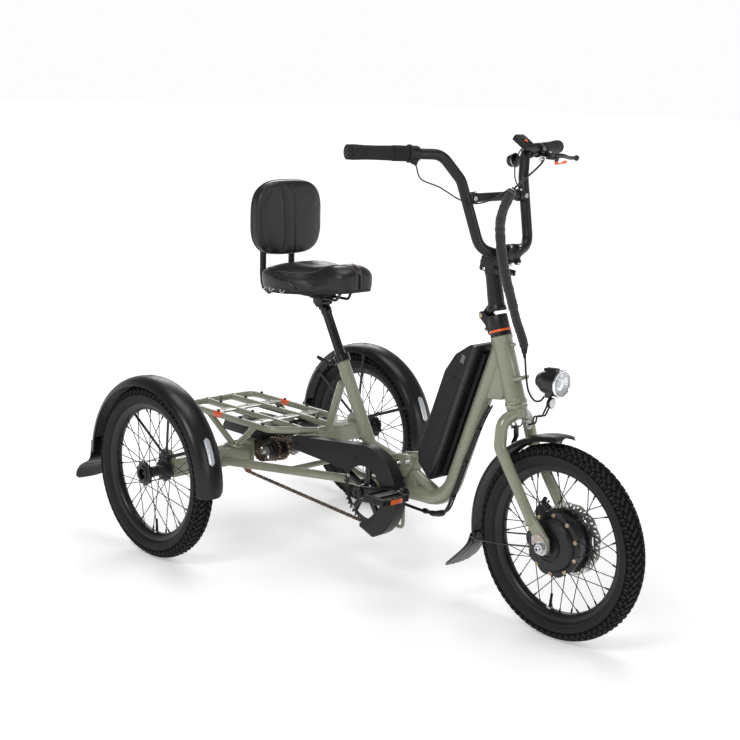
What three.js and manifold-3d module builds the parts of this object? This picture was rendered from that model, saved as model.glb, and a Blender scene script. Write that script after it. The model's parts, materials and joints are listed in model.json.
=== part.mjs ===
// Adult electric tricycle: one driven front wheel, two rear wheels, a low step-through frame,
// a folding handlebar mast and a wide saddle with a backrest.
// Millimetres. +X forward, +Y to the rider's left, +Z up. Everything is laid out from the point on the
// ground under the front axle, and the whole tricycle is then moved so that the origin is the middle of
// its footprint.
import * as THREE from 'three';
import { mergeVertices } from 'three/addons/utils/BufferGeometryUtils.js';
import Module from 'manifold-3d';

const wasm = await Module();
wasm.setup();

// ---- driving dimensions -------------------------------------------------------------------------------
const GAP = 0.3;
const WHEEL_RADIUS = 240;
const TYRE_HALF_WIDTH = 30;
const RIM_BED_RADIUS = 185.5;
const RIM_INNER_RADIUS = 176;
const WHEEL_SEGMENTS = 24;
const REAR_AXLE_X = -1090;
const REAR_TRACK_HALF = 397;
const FRONT_REACH = WHEEL_RADIUS;
const REAR_REACH = 1430;
const HEAD_ANGLE = THREE.MathUtils.degToRad(70);
const HEAD_BOTTOM = new THREE.Vector3(-154, 0, 548);
const HEAD_TUBE_LENGTH = 170;
const HEAD_TUBE_RADIUS = 25;
const STEERER_RADIUS = 14.3;
const FORK_HALF_WIDTH = 60;
const FOLD_PIN = new THREE.Vector3(-265, 0, 753);
const BAR_CLAMP = new THREE.Vector3(-205, 0, 908);
const BAR_RADIUS = 12.7;
const GRIP_RADIUS = 17;
const GRIP_END = new THREE.Vector3(-372, 374, 1146);
const BAR_BEND = new THREE.Vector3(-292, 150, 1141);
const SEAT_TUBE_TOP = new THREE.Vector3(-783, 0, 568);
const SEAT_TUBE_FOOT = new THREE.Vector3(-657, 0, 341);
const SEAT_TUBE_RADIUS = 17;
const SEAT_POST_RADIUS = 13.6;
const SEAT_CLAMP = new THREE.Vector3(-847, 0, 683);
const CRANK_CENTRE = new THREE.Vector3(-605, 0, 237);
const CRANK_LENGTH = 167;
const CRANK_LEAN = THREE.MathUtils.degToRad(12.6);
const PRIMARY_CHAIN_Y = -52;
const DRIVE_CHAIN_Y = -22;
const CHAIN_PITCH = 12.7;
const CHAIN_HALF_HEIGHT = 4;
const CHAINRING_TEETH = 46;
const JACKSHAFT_TEETH = 16;
const IDLER_TEETH = 10;
const AXLE_SPROCKET_TEETH = 16;
const JACKSHAFT_CENTRE = new THREE.Vector3(-1002, 0, 264);
const IDLER_CENTRE = new THREE.Vector3(-1113, 0, 194);
const RACK_HEIGHT = 346;
const RACK_HALF_WIDTH = 125;
const RACK_REAR_X = -1318;
const RAIL_RADIUS = 9.5;
const BEAM_INNER_Y = 76;
const BEAM_OUTER_Y = 356;
const BEAM_HALF_HEIGHT = 26;
const BEAM_HALF_DEPTH = 25;
const SADDLE_HALF_WIDTH = 129;

// ---- materials ----------------------------------------------------------------------------------------
function paint(color, roughness, metalness) {
  return new THREE.MeshStandardMaterial({ color, roughness, metalness });
}
const SAGE = paint(0x8f9280, 0.35, 0.2);
const BLACK_GLOSS = paint(0x17181a, 0.3, 0.2);
const BLACK_SATIN = paint(0x202224, 0.55, 0.1);
const BLACK_RUBBER = paint(0x1b1b1c, 0.85, 0);
const TYRE_RUBBER = paint(0x242526, 0.9, 0);
const SILVER = paint(0xb9bcbe, 0.3, 0.9);
const CHAIN_STEEL = paint(0x5c4a38, 0.45, 0.8);
const LEATHER = paint(0x1a1a1b, 0.5, 0);
const FABRIC = paint(0x141415, 0.95, 0);
const ORANGE = paint(0xf06a22, 0.4, 0);
const LENS = paint(0xe9eef2, 0.1, 0);

// ---- shape helpers ------------------------------------------------------------------------------------
const V = (x, y, z) => new THREE.Vector3(x, y, z);
const sided = (p, side) => V(p.x, p.y * side, p.z);
const headDirection = V(-Math.cos(HEAD_ANGLE), 0, Math.sin(HEAD_ANGLE));
const alongHead = (distance, forward = 0, y = 0) => HEAD_BOTTOM.clone()
  .addScaledVector(headDirection, distance)
  .addScaledVector(V(Math.sin(HEAD_ANGLE), 0, Math.cos(HEAD_ANGLE)), forward)
  .add(V(0, y, 0));
const toothRadius = (teeth) => CHAIN_PITCH / (2 * Math.sin(Math.PI / teeth));

// A closed mesh becomes a solid that can be joined and cut.
function solid(geometry) {
  const bare = geometry.index ? geometry.toNonIndexed() : geometry.clone();
  bare.deleteAttribute('normal');
  bare.deleteAttribute('uv');
  const merged = mergeVertices(bare, 1e-3);
  const positions = merged.getAttribute('position').array;
  const triangles = [];
  let volume = 0;
  const corner = [V(0, 0, 0), V(0, 0, 0), V(0, 0, 0)];
  for (let i = 0; i < merged.index.count; i += 3) {
    const ids = [0, 1, 2].map((k) => merged.index.getX(i + k));
    if (new Set(ids).size < 3) continue;
    ids.forEach((id, k) => corner[k].fromArray(positions, 3 * id));
    volume += corner[0].dot(corner[1].clone().cross(corner[2]));
    triangles.push(...ids);
  }
  if (volume < 0) triangles.reverse();
  return new wasm.Manifold(new wasm.Mesh({
    numProp: 3,
    vertProperties: new Float32Array(positions),
    triVerts: new Uint32Array(triangles),
  }));
}

const join = (...bodies) => bodies.flat().reduce((whole, body) => whole.add(body));
const cut = (body, ...tools) => tools.flat().reduce((left, tool) => left.subtract(tool), body);

function toGeometry(body) {
  const mesh = body.getMesh();
  const geometry = new THREE.BufferGeometry();
  geometry.setAttribute('position', new THREE.BufferAttribute(mesh.vertProperties, 3));
  geometry.setIndex(new THREE.BufferAttribute(mesh.triVerts, 1));
  geometry.computeVertexNormals();
  return geometry;
}

const tricycle = new THREE.Group();
tricycle.position.x = (REAR_REACH - FRONT_REACH) / 2;

function piece(name, material, ...bodies) {
  const mesh = new THREE.Mesh(toGeometry(join(...bodies)), material);
  mesh.name = name;
  tricycle.add(mesh);
}

// A round bar between two points; radii may differ.
function rod(from, to, radius, sides = 10, endRadius = radius) {
  const length = from.distanceTo(to);
  const geometry = new THREE.CylinderGeometry(endRadius, radius, length, sides);
  const direction = to.clone().sub(from).normalize();
  geometry.applyQuaternion(new THREE.Quaternion().setFromUnitVectors(V(0, 1, 0), direction));
  const middle = from.clone().lerp(to, 0.5);
  geometry.translate(middle.x, middle.y, middle.z);
  return solid(geometry);
}

// A hole for a round bar of the given radius, with the running gap all round.
function bore(from, to, radius, sides = 12) {
  return rod(from, to, (radius + GAP) / Math.cos(Math.PI / sides), sides);
}

// A block with its size along the axes, turned about Y, centred on a point.
function block(centre, size, turnY = 0) {
  const geometry = new THREE.BoxGeometry(size.x, size.y, size.z);
  geometry.rotateY(turnY);
  geometry.translate(centre.x, centre.y, centre.z);
  return solid(geometry);
}

// A path through exact points, so that a tube has one ring at each of them.
class Route extends THREE.Curve {
  constructor(points) {
    super();
    this.points = points;
  }

  getPoint(t) {
    const last = this.points.length - 1;
    const index = Math.min(Math.floor(t * last + 1e-9), last - 1);
    return this.points[index].clone().lerp(this.points[index + 1], t * last - index);
  }

  getPointAt(t) {
    return this.getPoint(t);
  }

  getTangentAt(t) {
    const last = this.points.length - 1;
    const index = Math.round(t * last);
    const before = this.points[Math.max(index - 1, 0)];
    const after = this.points[Math.min(index + 1, last)];
    return after.clone().sub(before).normalize();
  }
}

// Straight stretches with a round bend at each inner corner.
function bent(corners, bendRadius, stepsPerBend = 3) {
  const path = [corners[0]];
  for (let i = 1; i < corners.length - 1; i += 1) {
    const back = corners[i - 1].clone().sub(corners[i]);
    const ahead = corners[i + 1].clone().sub(corners[i]);
    const half = back.angleTo(ahead) / 2;
    const reach = Math.min(bendRadius / Math.tan(half), 0.48 * back.length(), 0.48 * ahead.length());
    const start = corners[i].clone().addScaledVector(back.normalize(), reach);
    const end = corners[i].clone().addScaledVector(ahead.normalize(), reach);
    const curve = new THREE.QuadraticBezierCurve3(start, corners[i], end);
    path.push(...curve.getPoints(stepsPerBend));
  }
  path.push(corners[corners.length - 1]);
  return path;
}

const roundSection = (radius, sides, stretch = 1) => {
  const points = [];
  for (let i = 0; i < sides; i += 1) {
    const turn = (2 * Math.PI * i) / sides;
    points.push(new THREE.Vector2(radius * Math.cos(turn), radius * stretch * Math.sin(turn)));
  }
  return points;
};

function sweep(section, points) {
  const geometry = new THREE.ExtrudeGeometry(new THREE.Shape(section), {
    steps: points.length - 1,
    extrudePath: new Route(points),
  });
  return solid(geometry);
}

const tube = (points, radius, sides = 8) => sweep(roundSection(radius, sides), points);

// A profile of [radius, offset] pairs turned about a line along Y through a centre.
function turned(centre, profile, sides = 20) {
  const points = profile.map(([radius, offset]) => new THREE.Vector2(radius, offset));
  if (profile[0][0] > 0) points.push(points[0].clone());
  const geometry = new THREE.LatheGeometry(points, sides);
  geometry.translate(centre.x, centre.y, centre.z);
  return solid(geometry);
}

// A flat plate in the XZ plane, from y = low to y = high.
function plate(outline, low, high, holes = []) {
  const shape = new THREE.Shape(outline.map(([x, z]) => new THREE.Vector2(x, z)));
  holes.forEach((hole) => shape.holes.push(new THREE.Path(hole.map(([x, z]) => new THREE.Vector2(x, z)))));
  const geometry = new THREE.ExtrudeGeometry(shape, { depth: high - low, bevelEnabled: false });
  geometry.rotateX(Math.PI / 2);
  geometry.translate(0, high, 0);
  return solid(geometry);
}

// Points on an arc in the XZ plane, from one angle to another (degrees, 0 forward, 90 up).
function arc(centre, radius, from, to, steps) {
  const points = [];
  for (let i = 0; i <= steps; i += 1) {
    const turn = THREE.MathUtils.degToRad(from + ((to - from) * i) / steps);
    points.push([centre.x + radius * Math.cos(turn), centre.z + radius * Math.sin(turn)]);
  }
  return points;
}

// The outline of a belt pulled tight round discs that lie one after another, anticlockwise seen from +Y's
// tail: each disc is { x, z, r } and the belt runs outside all of them.
function beltOutline(discs) {
  const outline = [];
  const count = discs.length;
  for (let i = 0; i < count; i += 1) {
    const before = discs[(i + count - 1) % count];
    const here = discs[i];
    const after = discs[(i + 1) % count];
    const start = tangentAngle(before, here);
    let end = tangentAngle(here, after);
    while (end < start) end += 2 * Math.PI;
    const steps = 5 + Math.round(here.r / 7);
    for (let k = 0; k <= steps; k += 1) {
      const turn = start + ((end - start) * k) / steps;
      outline.push([here.x + here.r * Math.cos(turn), here.z + here.r * Math.sin(turn)]);
    }
  }
  return outline;
}

function tangentAngle(from, to) {
  const direction = Math.atan2(to.z - from.z, to.x - from.x);
  const distance = Math.hypot(to.x - from.x, to.z - from.z);
  return direction - Math.PI / 2 + Math.asin((from.r - to.r) / distance);
}

// ---- wheels -------------------------------------------------------------------------------------------
const rearHubCentre = (side) => V(REAR_AXLE_X, side * REAR_TRACK_HALF, WHEEL_RADIUS);
const FRONT_HUB = V(0, 0, WHEEL_RADIUS);

function tyre(centre) {
  const half = TYRE_HALF_WIDTH;
  const bead = RIM_BED_RADIUS + GAP;
  return turned(centre, [
    [bead, -17], [210, -half], [231, -22], [WHEEL_RADIUS, -7], [WHEEL_RADIUS, 7], [231, 22], [210, half],
    [bead, 17], [bead, 12], [208, 23], [208, -23], [bead, -12],
  ], WHEEL_SEGMENTS);
}

function rim(centre) {
  return turned(centre, [
    [RIM_INNER_RADIUS, -12], [RIM_BED_RADIUS, -17], [RIM_BED_RADIUS, 17], [RIM_INNER_RADIUS, 12],
  ], WHEEL_SEGMENTS);
}

// Spokes leave the hub flanges almost along them and cross on the way to the rim.
function spokes(centre, flangeRadius, flangeY, count, lead) {
  const bars = [];
  for (let i = 0; i < count; i += 1) {
    const turn = (2 * Math.PI * i) / count;
    const side = i % 2 ? 1 : -1;
    const start = turn + (Math.floor(i / 2) % 2 ? lead : -lead);
    const outer = RIM_INNER_RADIUS + 3;
    const inner = V(flangeRadius * Math.sin(start), side * flangeY, flangeRadius * Math.cos(start));
    inner.add(centre);
    const end = V(outer * Math.sin(turn), side * 3, outer * Math.cos(turn)).add(centre);
    bars.push(rod(inner, end, 1.8, 3));
  }
  return bars;
}

function wheelHub(centre, side) {
  const outward = side;
  return turned(centre, [
    [0, -45 * outward], [8.5, -45 * outward], [10, -33 * outward], [31, -31 * outward], [31, -26 * outward],
    [14, -22 * outward], [14, 28 * outward], [31, 32 * outward], [31, 38 * outward], [0, 41 * outward],
  ], 10);
}

piece('front_tyre', TYRE_RUBBER, tyre(FRONT_HUB));
piece('front_rim', BLACK_SATIN, cut(
  join(rim(FRONT_HUB), spokes(FRONT_HUB, 79, 24, 12, 0.5),
    turned(FRONT_HUB, [[80.4, -27], [83, -27], [83, -21], [80.4, -21]], 24),
    turned(FRONT_HUB, [[80.4, 21], [83, 21], [83, 27], [80.4, 27]], 24)),
  turned(FRONT_HUB, [[0, -60], [80.4, -60], [80.4, 60], [0, 60]], 24),
));
piece('hub_motor', BLACK_SATIN, turned(FRONT_HUB, [
  [7.4, -48], [26, -44], [66, -37], [80, -27], [80, -20], [70, -17],
  [70, 18], [80, 20], [80, 27], [20, 43], [7.4, 43],
], 24));
piece('brake_rotor', SILVER, turned(FRONT_HUB, [[8, 43.4], [90, 43.4], [90, 46], [8, 46]], 24));
piece('front_axle', SILVER,
  rod(V(0, -86, WHEEL_RADIUS), V(0, 86, WHEEL_RADIUS), 7, 12),
  rod(V(0, -80, WHEEL_RADIUS), V(0, -67, WHEEL_RADIUS), 15, 6),
  rod(V(0, 80, WHEEL_RADIUS), V(0, 67, WHEEL_RADIUS), 15, 6));

for (const side of [-1, 1]) {
  const label = side > 0 ? 'left' : 'right';
  const centre = rearHubCentre(side);
  const shaftEnd = V(REAR_AXLE_X, side > 0 ? DRIVE_CHAIN_Y + 12 : -82, WHEEL_RADIUS);
  piece(`rear_tyre_${label}`, TYRE_RUBBER, tyre(centre));
  piece(`rear_wheel_${label}`, BLACK_SATIN,
    join(rim(centre), spokes(centre, 28, 32, 12, 1.1), wheelHub(centre, side),
      rod(shaftEnd, V(REAR_AXLE_X, side * (REAR_TRACK_HALF - 40), WHEEL_RADIUS), 8.5, 12)));
}

// ---- front fender, fork and steering ------------------------------------------------------------------
// A fender is a thin curved sheet with rolled-down sides that follows the wheel.
function fender(centre, radius, halfWidth, from, to, steps, droop) {
  const section = [];
  const half = [[0.45, 0], [0.88, -droop * 0.35], [1, -droop]];
  half.forEach(([across, drop]) => section.push([across * halfWidth, drop]));
  const outer = [...section.map(([across, drop]) => [-across, drop]).reverse(), ...section];
  const inner = outer.map(([across, drop]) => [across * (1 - 3 / halfWidth), drop - 2.4]).reverse();
  const ring = [...outer, ...inner];
  const points = arc(centre, radius, from, to, steps).map(([x, z]) => V(x, centre.y, z));
  const rings = points.map((point) => {
    const out = point.clone().sub(centre).normalize();
    return ring.map(([across, drop]) => point.clone().addScaledVector(out, drop).add(V(0, across, 0)));
  });
  return loft(rings);
}

// Closed rings joined one after another, with flat ends.
function loft(rings) {
  const size = rings[0].length;
  const positions = rings.flat().flatMap((p) => [p.x, p.y, p.z]);
  const faces = [];
  for (let r = 0; r < rings.length - 1; r += 1) {
    for (let k = 0; k < size; k += 1) {
      const a = r * size + k;
      const b = r * size + ((k + 1) % size);
      faces.push(a, b, b + size, a, b + size, a + size);
    }
  }
  const normal = new THREE.Vector3();
  rings[0].forEach((p, k) => normal.add(p.clone().cross(rings[0][(k + 1) % size])));
  const flat = (ring) => {
    const u = ring[1].clone().sub(ring[0]).normalize();
    const w = normal.clone().normalize();
    const v = w.clone().cross(u);
    return ring.map((p) => new THREE.Vector2(p.clone().sub(ring[0]).dot(u), p.clone().sub(ring[0]).dot(v)));
  };
  const caps = THREE.ShapeUtils.triangulateShape(flat(rings[0]), []);
  caps.forEach(([a, b, c]) => faces.push(c, b, a));
  const base = (rings.length - 1) * size;
  caps.forEach(([a, b, c]) => faces.push(base + a, base + b, base + c));
  const geometry = new THREE.BufferGeometry();
  geometry.setAttribute('position', new THREE.BufferAttribute(new Float32Array(positions), 3));
  geometry.setIndex(faces);
  return solid(geometry);
}

// A rubber flap that carries on from a fender's rear end and widens.
function mudflap(from, to, halfWidth, endHalfWidth) {
  const thick = to.clone().sub(from).normalize().cross(V(0, 1, 0)).multiplyScalar(2);
  const ring = (at, half) => [
    at.clone().add(thick).add(V(0, -half, 0)), at.clone().add(thick).add(V(0, half, 0)),
    at.clone().sub(thick).add(V(0, half, 0)), at.clone().sub(thick).add(V(0, -half, 0)),
  ];
  return loft([
    ring(from, halfWidth),
    ring(from.clone().lerp(to, 0.6), endHalfWidth),
    ring(to, endHalfWidth * 0.8),
  ]);
}

piece('front_fender', BLACK_GLOSS,
  fender(FRONT_HUB, 262, 34, 86, 194, 8, 14),
  mudflap(V(-250, 0, 176), V(-345, 0, 104), 30, 46),
  rod(V(-250, -33, 196), V(-22, -69.2, 236), 2.2, 5),
  rod(V(-250, 33, 196), V(-22, 69.2, 236), 2.2, 5),
  rod(V(-158, 0, 449), V(-148, 0, 505), 8, 6));

function forkBlade(side) {
  const path = bent([
    V(-146, side * 6, 528), V(-158, side * 44, 512), V(-148, side * FORK_HALF_WIDTH, 448),
    V(-18, side * FORK_HALF_WIDTH, 262),
  ], 34, 3);
  const lean = Math.atan2(448 - 262, 130);
  const dropout = plate([
    [-44, 290], [-14, 306], [17, 250], [17, 226], [4, 222], [-18, 224], [-20, 240],
  ], side > 0 ? 58 : -66.5, side > 0 ? 66.5 : -58);
  return [tube(path, 14, 8), dropout, block(V(-26, side * 60.5, 274), V(30, 12, 26), lean)];
}

piece('fork', SAGE, cut(
  join(forkBlade(-1), forkBlade(1),
    rod(alongHead(-34), alongHead(-GAP - 2), 23, 12),
    rod(alongHead(-20), alongHead(HEAD_TUBE_LENGTH + 5), STEERER_RADIUS, 12)),
  rod(V(0, -90, WHEEL_RADIUS), V(0, 90, WHEEL_RADIUS), 7.5, 12),
  block(V(-150, 0, 502), V(22, 22, 14)),
));

// Lower half of the folding stem, with the headset's orange ring under it.
const foldTop = alongHead(HEAD_TUBE_LENGTH + 52);
piece('fold_base', BLACK_GLOSS, cut(
  join(
    rod(alongHead(HEAD_TUBE_LENGTH + 2), alongHead(HEAD_TUBE_LENGTH + 14), 26, 12),
    rod(alongHead(HEAD_TUBE_LENGTH + 14), foldTop, 25, 12),
    [-1, 1].map((side) => [
      rod(FOLD_PIN.clone().setY(side * 8), FOLD_PIN.clone().setY(side * 17), 9, 8),
      plate([[-274, 751], [-262, 737], [-240, 720], [-232, 742], [-252, 744], [-258, 750]],
        side > 0 ? 8 : -17, side > 0 ? 17 : -8),
    ]).flat(),
    rod(FOLD_PIN.clone().add(V(0, -20, 0)), FOLD_PIN.clone().add(V(0, 20, 0)), 4.5, 8)),
  bore(alongHead(HEAD_TUBE_LENGTH), alongHead(HEAD_TUBE_LENGTH + 6), STEERER_RADIUS),
));

// Brake caliper behind the left fork blade, and the arm that the cable pulls.
const CALIPER_TURN = -1.08;
function fromHub(radius, y) {
  return V(radius * Math.sin(CALIPER_TURN), y, WHEEL_RADIUS + radius * Math.cos(CALIPER_TURN));
}
piece('brake_caliper', BLACK_SATIN,
  block(fromHub(96, 39), V(40, 6, 34), CALIPER_TURN), block(fromHub(96, 50.5), V(40, 7, 34), CALIPER_TURN),
  block(fromHub(113, 45), V(40, 18, 10), CALIPER_TURN), rod(fromHub(96, 50), fromHub(96, 57), 12, 10));
piece('caliper_arm', SILVER,
  rod(fromHub(96, 57.4), fromHub(96, 62), 7, 8), block(fromHub(108, 60), V(8, 3.5, 34), CALIPER_TURN));

piece('headlight_bracket', BLACK_SATIN, tube(bent([
  V(-112, 0, 508), V(-96, 0, 512), V(-92, 0, 532), V(-68, 0, 536), V(-54, 0, 566),
], 8, 2), 4, 6), block(V(-50, 0, 573), V(10, 26, 16)));
piece('headlight', BLACK_GLOSS,
  cut(
    join(rod(V(-88, 0, 624), V(-70, 0, 624), 20, 14, 29), rod(V(-70, 0, 624), V(-22, 0, 622), 29, 14, 33)),
    rod(V(-40, 0, 622), V(-10, 0, 622), 30, 14)),
  block(V(-58, 0, 590.5), V(16, 12, 13)));
piece('headlight_lens', LENS, rod(V(-39, 0, 622), V(-20, 0, 622), 29.5, 14));

// ---- frame --------------------------------------------------------------------------------------------
const SEAT_UP = SEAT_TUBE_TOP.clone().sub(SEAT_TUBE_FOOT).normalize();
const clampPlate = [
  [-560, 300], [-548, 342], [-500, 352], [-478, 344], [-478, 318], [-500, 292], [-540, 286],
];

piece('front_frame', SAGE, cut(
  join(
    rod(alongHead(0), alongHead(HEAD_TUBE_LENGTH), HEAD_TUBE_RADIUS, 14),
    tube(bent([V(-212, 0, 676), V(-366, 0, 256), V(-550, 0, 248)], 95, 5), 22, 10),
    plate([[-190, 556], [-258, 548], [-216, 668], [-212, 640]], -15, 15),
    rod(V(-402, 0, 266), V(-508, 0, 312), 14, 10),
    plate([[-514, 300], [-478, 304], [-478, 262], [-524, 258]], -12, 12),
    plate([
      [-516, 304], [-500, 292], [-484, 296], [-474, 320], [-480, 346], [-500, 350], [-512, 344],
    ], -15, 15),
    [-22, 22].map((y) => tube(bent([
      V(-546, y, 226), V(-546, y, 132), V(-576, y, 132), V(-574, y, 226),
    ], 13, 2), 5, 6)),
    block(V(-560, 0, 224), V(34, 54, 8)),
    rod(alongHead(60, 14, -14), alongHead(60, 41, -14), 5, 8),
    rod(alongHead(60, 14, 14), alongHead(60, 41, 14), 5, 8),
    rod(alongHead(142, 14, 0), alongHead(142, 34, 0), 6, 8)),
  rod(alongHead(-5), alongHead(HEAD_TUBE_LENGTH + 5), STEERER_RADIUS + 4, 12),
));

const postBore = bore(
  SEAT_TUBE_TOP.clone().addScaledVector(SEAT_UP, 10), SEAT_TUBE_TOP.clone().addScaledVector(SEAT_UP, -215),
  SEAT_POST_RADIUS);

// Hollow half of the axle beam, with its bearing plates.
function axleBeam(side) {
  const middle = (BEAM_INNER_Y + BEAM_OUTER_Y) / 2;
  const length = BEAM_OUTER_Y - BEAM_INNER_Y;
  const at = V(REAR_AXLE_X, side * middle, WHEEL_RADIUS + 4);
  return [
    block(at, V(2 * BEAM_HALF_DEPTH, length, 2 * BEAM_HALF_HEIGHT)),
    block(V(REAR_AXLE_X, side * (BEAM_INNER_Y + 2), WHEEL_RADIUS + 4), V(68, 6, 66)),
    rod(V(REAR_AXLE_X, side * (BEAM_OUTER_Y - 6), WHEEL_RADIUS + 16),
      V(REAR_AXLE_X, side * (BEAM_OUTER_Y + 0.5), WHEEL_RADIUS + 16), 41, 14),
  ];
}

piece('rear_frame', SAGE, cut(
  join(
    rod(SEAT_TUBE_FOOT.clone().addScaledVector(SEAT_UP, -14), SEAT_TUBE_TOP, SEAT_TUBE_RADIUS, 12),
    rod(V(-655, 0, 338), V(-560, 0, 318), 19, 10),
    plate([
      [-590, 330], [-556, 340], [-519, 346], [-519, 306], [-534, 286], [-560, 276], [-592, 270],
    ], -16, 16),
    plate(clampPlate, -24, -16), plate(clampPlate, 16, 24),
    plate([[-628, 240], [-600, 336], [-556, 330], [-556, 276], [-580, 262]], -14, 14),
    rod(CRANK_CENTRE.clone().add(V(0, -34, 0)), CRANK_CENTRE.clone().add(V(0, 34, 0)), 22, 12),
    [-1, 1].map((side) => tube(bent([
      V(-612, side * 17, 240), V(-720, side * 29, 238), V(REAR_AXLE_X + 6, side * 182, 236),
    ], 60, 2), 12, 8)),
    axleBeam(-1), axleBeam(1),
    block(V(-1152, 0, 246), V(14, 2 * BEAM_INNER_Y + 8, 30)),
    [-1, 1].map((side) => block(V(-1134, side * (BEAM_INNER_Y + 2), 246), V(50, 6, 30))),
    rod(V(-880, -92, 238), V(-880, 92, 238), 8, 8)),
  postBore,
  rod(CRANK_CENTRE.clone().add(V(0, -40, 0)), CRANK_CENTRE.clone().add(V(0, 40, 0)), 9.5, 12),
  rod(V(REAR_AXLE_X, -400, WHEEL_RADIUS), V(REAR_AXLE_X, 400, WHEEL_RADIUS), 10.2, 12),
  block(V(REAR_AXLE_X, 0, WHEEL_RADIUS + 4), V(42, 2 * BEAM_OUTER_Y - 16, 44)),
));

// ---- rear rack ----------------------------------------------------------------------------------------
const RACK_FRONT = V(-828, 0, RACK_HEIGHT + 2);
const STRUT_TOP = V(-776, 0, 492);

function outerRail(side) {
  return bent([
    V(-838, side * 16, RACK_HEIGHT), V(-935, side * RACK_HALF_WIDTH, RACK_HEIGHT),
    V(RACK_REAR_X + 6, side * RACK_HALF_WIDTH, RACK_HEIGHT), V(RACK_REAR_X, side * 60, RACK_HEIGHT),
    V(RACK_REAR_X, side * -4, RACK_HEIGHT),
  ], 34, 2);
}

piece('rear_rack', SAGE, cut(
  join(
    [-1, 1].map((side) => [
      tube(outerRail(side), RAIL_RADIUS, 6),
      rod(V(-872, side * 50, RACK_HEIGHT), V(RACK_REAR_X, side * 46, RACK_HEIGHT), RAIL_RADIUS, 6),
      rod(V(-1205, side * 125, RACK_HEIGHT - 4), V(-1086, side * 128, 281), 8.5, 6),
      rod(V(-995, side * 125, RACK_HEIGHT - 4), V(-1074, side * 128, 281), 8.5, 6),
      block(V(-1080, side * 128, 273.4), V(52, 34, 6)),
    ]).flat(),
    rod(V(-842, -30, RACK_HEIGHT), V(-842, 30, RACK_HEIGHT), 11, 8),
    rod(RACK_FRONT, STRUT_TOP, 11, 8),
    block(V(-1180, 0, RACK_HEIGHT + 2.7), V(34, 2 * RACK_HALF_WIDTH, 5)),
    block(V(-1010, 0, RACK_HEIGHT + 2.7), V(34, 2 * RACK_HALF_WIDTH, 5))),
  bore(SEAT_TUBE_FOOT, SEAT_TUBE_TOP, SEAT_TUBE_RADIUS),
));

// ---- battery and its rail -----------------------------------------------------------------------------
const tubeLean = Math.atan2(420, 154);
const behindTube = (along, behind, y = 0) => V(-366, y, 256)
  .addScaledVector(V(Math.cos(tubeLean), 0, Math.sin(tubeLean)), along)
  .addScaledVector(V(-Math.sin(tubeLean), 0, Math.cos(tubeLean)), behind);
const slab = (outline, low, high) => plate(outline.map(([a, b]) => {
  const p = behindTube(a, b);
  return [p.x, p.z];
}), low, high);

piece('battery_rail', BLACK_SATIN, slab([[62, 22.6], [62, 34], [418, 34], [418, 22.6]], -14, 14));
piece('battery', BLACK_SATIN, slab([
  [52, 34.5], [40, 52], [62, 100], [88, 112], [330, 112], [385, 96], [430, 62], [440, 34.5],
], -44, 44));

// ---- chain drive --------------------------------------------------------------------------------------
const disc = (centre, teeth, extra) => ({ x: centre.x, z: centre.z, r: toothRadius(teeth) + extra });

function chainLoop(discs, y) {
  const outer = beltOutline(discs.map((d) => ({ ...d, r: d.r + CHAIN_HALF_HEIGHT })));
  const inner = beltOutline(discs.map((d) => ({ ...d, r: d.r - CHAIN_HALF_HEIGHT })));
  return plate(outer, y - 3.5, y + 3.5, [inner]);
}

piece('primary_chain', CHAIN_STEEL, chainLoop([
  disc(CRANK_CENTRE, CHAINRING_TEETH, 0), disc(JACKSHAFT_CENTRE, JACKSHAFT_TEETH, 0),
  disc(IDLER_CENTRE, IDLER_TEETH, 0),
], PRIMARY_CHAIN_Y));
piece('drive_chain', CHAIN_STEEL, chainLoop([
  disc(JACKSHAFT_CENTRE, JACKSHAFT_TEETH, 0), disc(V(REAR_AXLE_X, 0, WHEEL_RADIUS), AXLE_SPROCKET_TEETH, 0),
], DRIVE_CHAIN_Y));

const rootRadius = (teeth) => toothRadius(teeth) - CHAIN_HALF_HEIGHT - 1.2;
const sprocket = (centre, teeth, y, bore) => turned(V(centre.x, y, centre.z), [
  [bore, -1.6], [rootRadius(teeth), -1.6], [rootRadius(teeth), 1.6], [bore, 1.6],
], 14);

piece('chainring', BLACK_SATIN, turned(V(CRANK_CENTRE.x, PRIMARY_CHAIN_Y, CRANK_CENTRE.z), [
  [12.3, -2], [rootRadius(CHAINRING_TEETH), -2], [rootRadius(CHAINRING_TEETH), 2], [12.3, 2],
], 32));
piece('jackshaft', BLACK_SATIN,
  turned(V(JACKSHAFT_CENTRE.x, 0, JACKSHAFT_CENTRE.z), [
    [0, -96], [8, -96], [8, -70], [15, -68], [18, -14], [18, 24], [28, 26], [28, 31], [8, 36], [8, 92],
    [0, 92],
  ], 10),
  sprocket(JACKSHAFT_CENTRE, JACKSHAFT_TEETH, PRIMARY_CHAIN_Y, 6),
  sprocket(JACKSHAFT_CENTRE, JACKSHAFT_TEETH, DRIVE_CHAIN_Y, 6));
piece('axle_sprocket', CHAIN_STEEL, turned(V(REAR_AXLE_X, DRIVE_CHAIN_Y, WHEEL_RADIUS), [
  [9, -2], [rootRadius(AXLE_SPROCKET_TEETH), -2], [rootRadius(AXLE_SPROCKET_TEETH), 2], [16, 6], [9, 6],
], 16));
piece('idler', ORANGE, turned(V(IDLER_CENTRE.x, PRIMARY_CHAIN_Y, IDLER_CENTRE.z), [
  [4.2, -4], [rootRadius(IDLER_TEETH), -4], [rootRadius(IDLER_TEETH), 4], [4.2, 4],
], 14));

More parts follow.
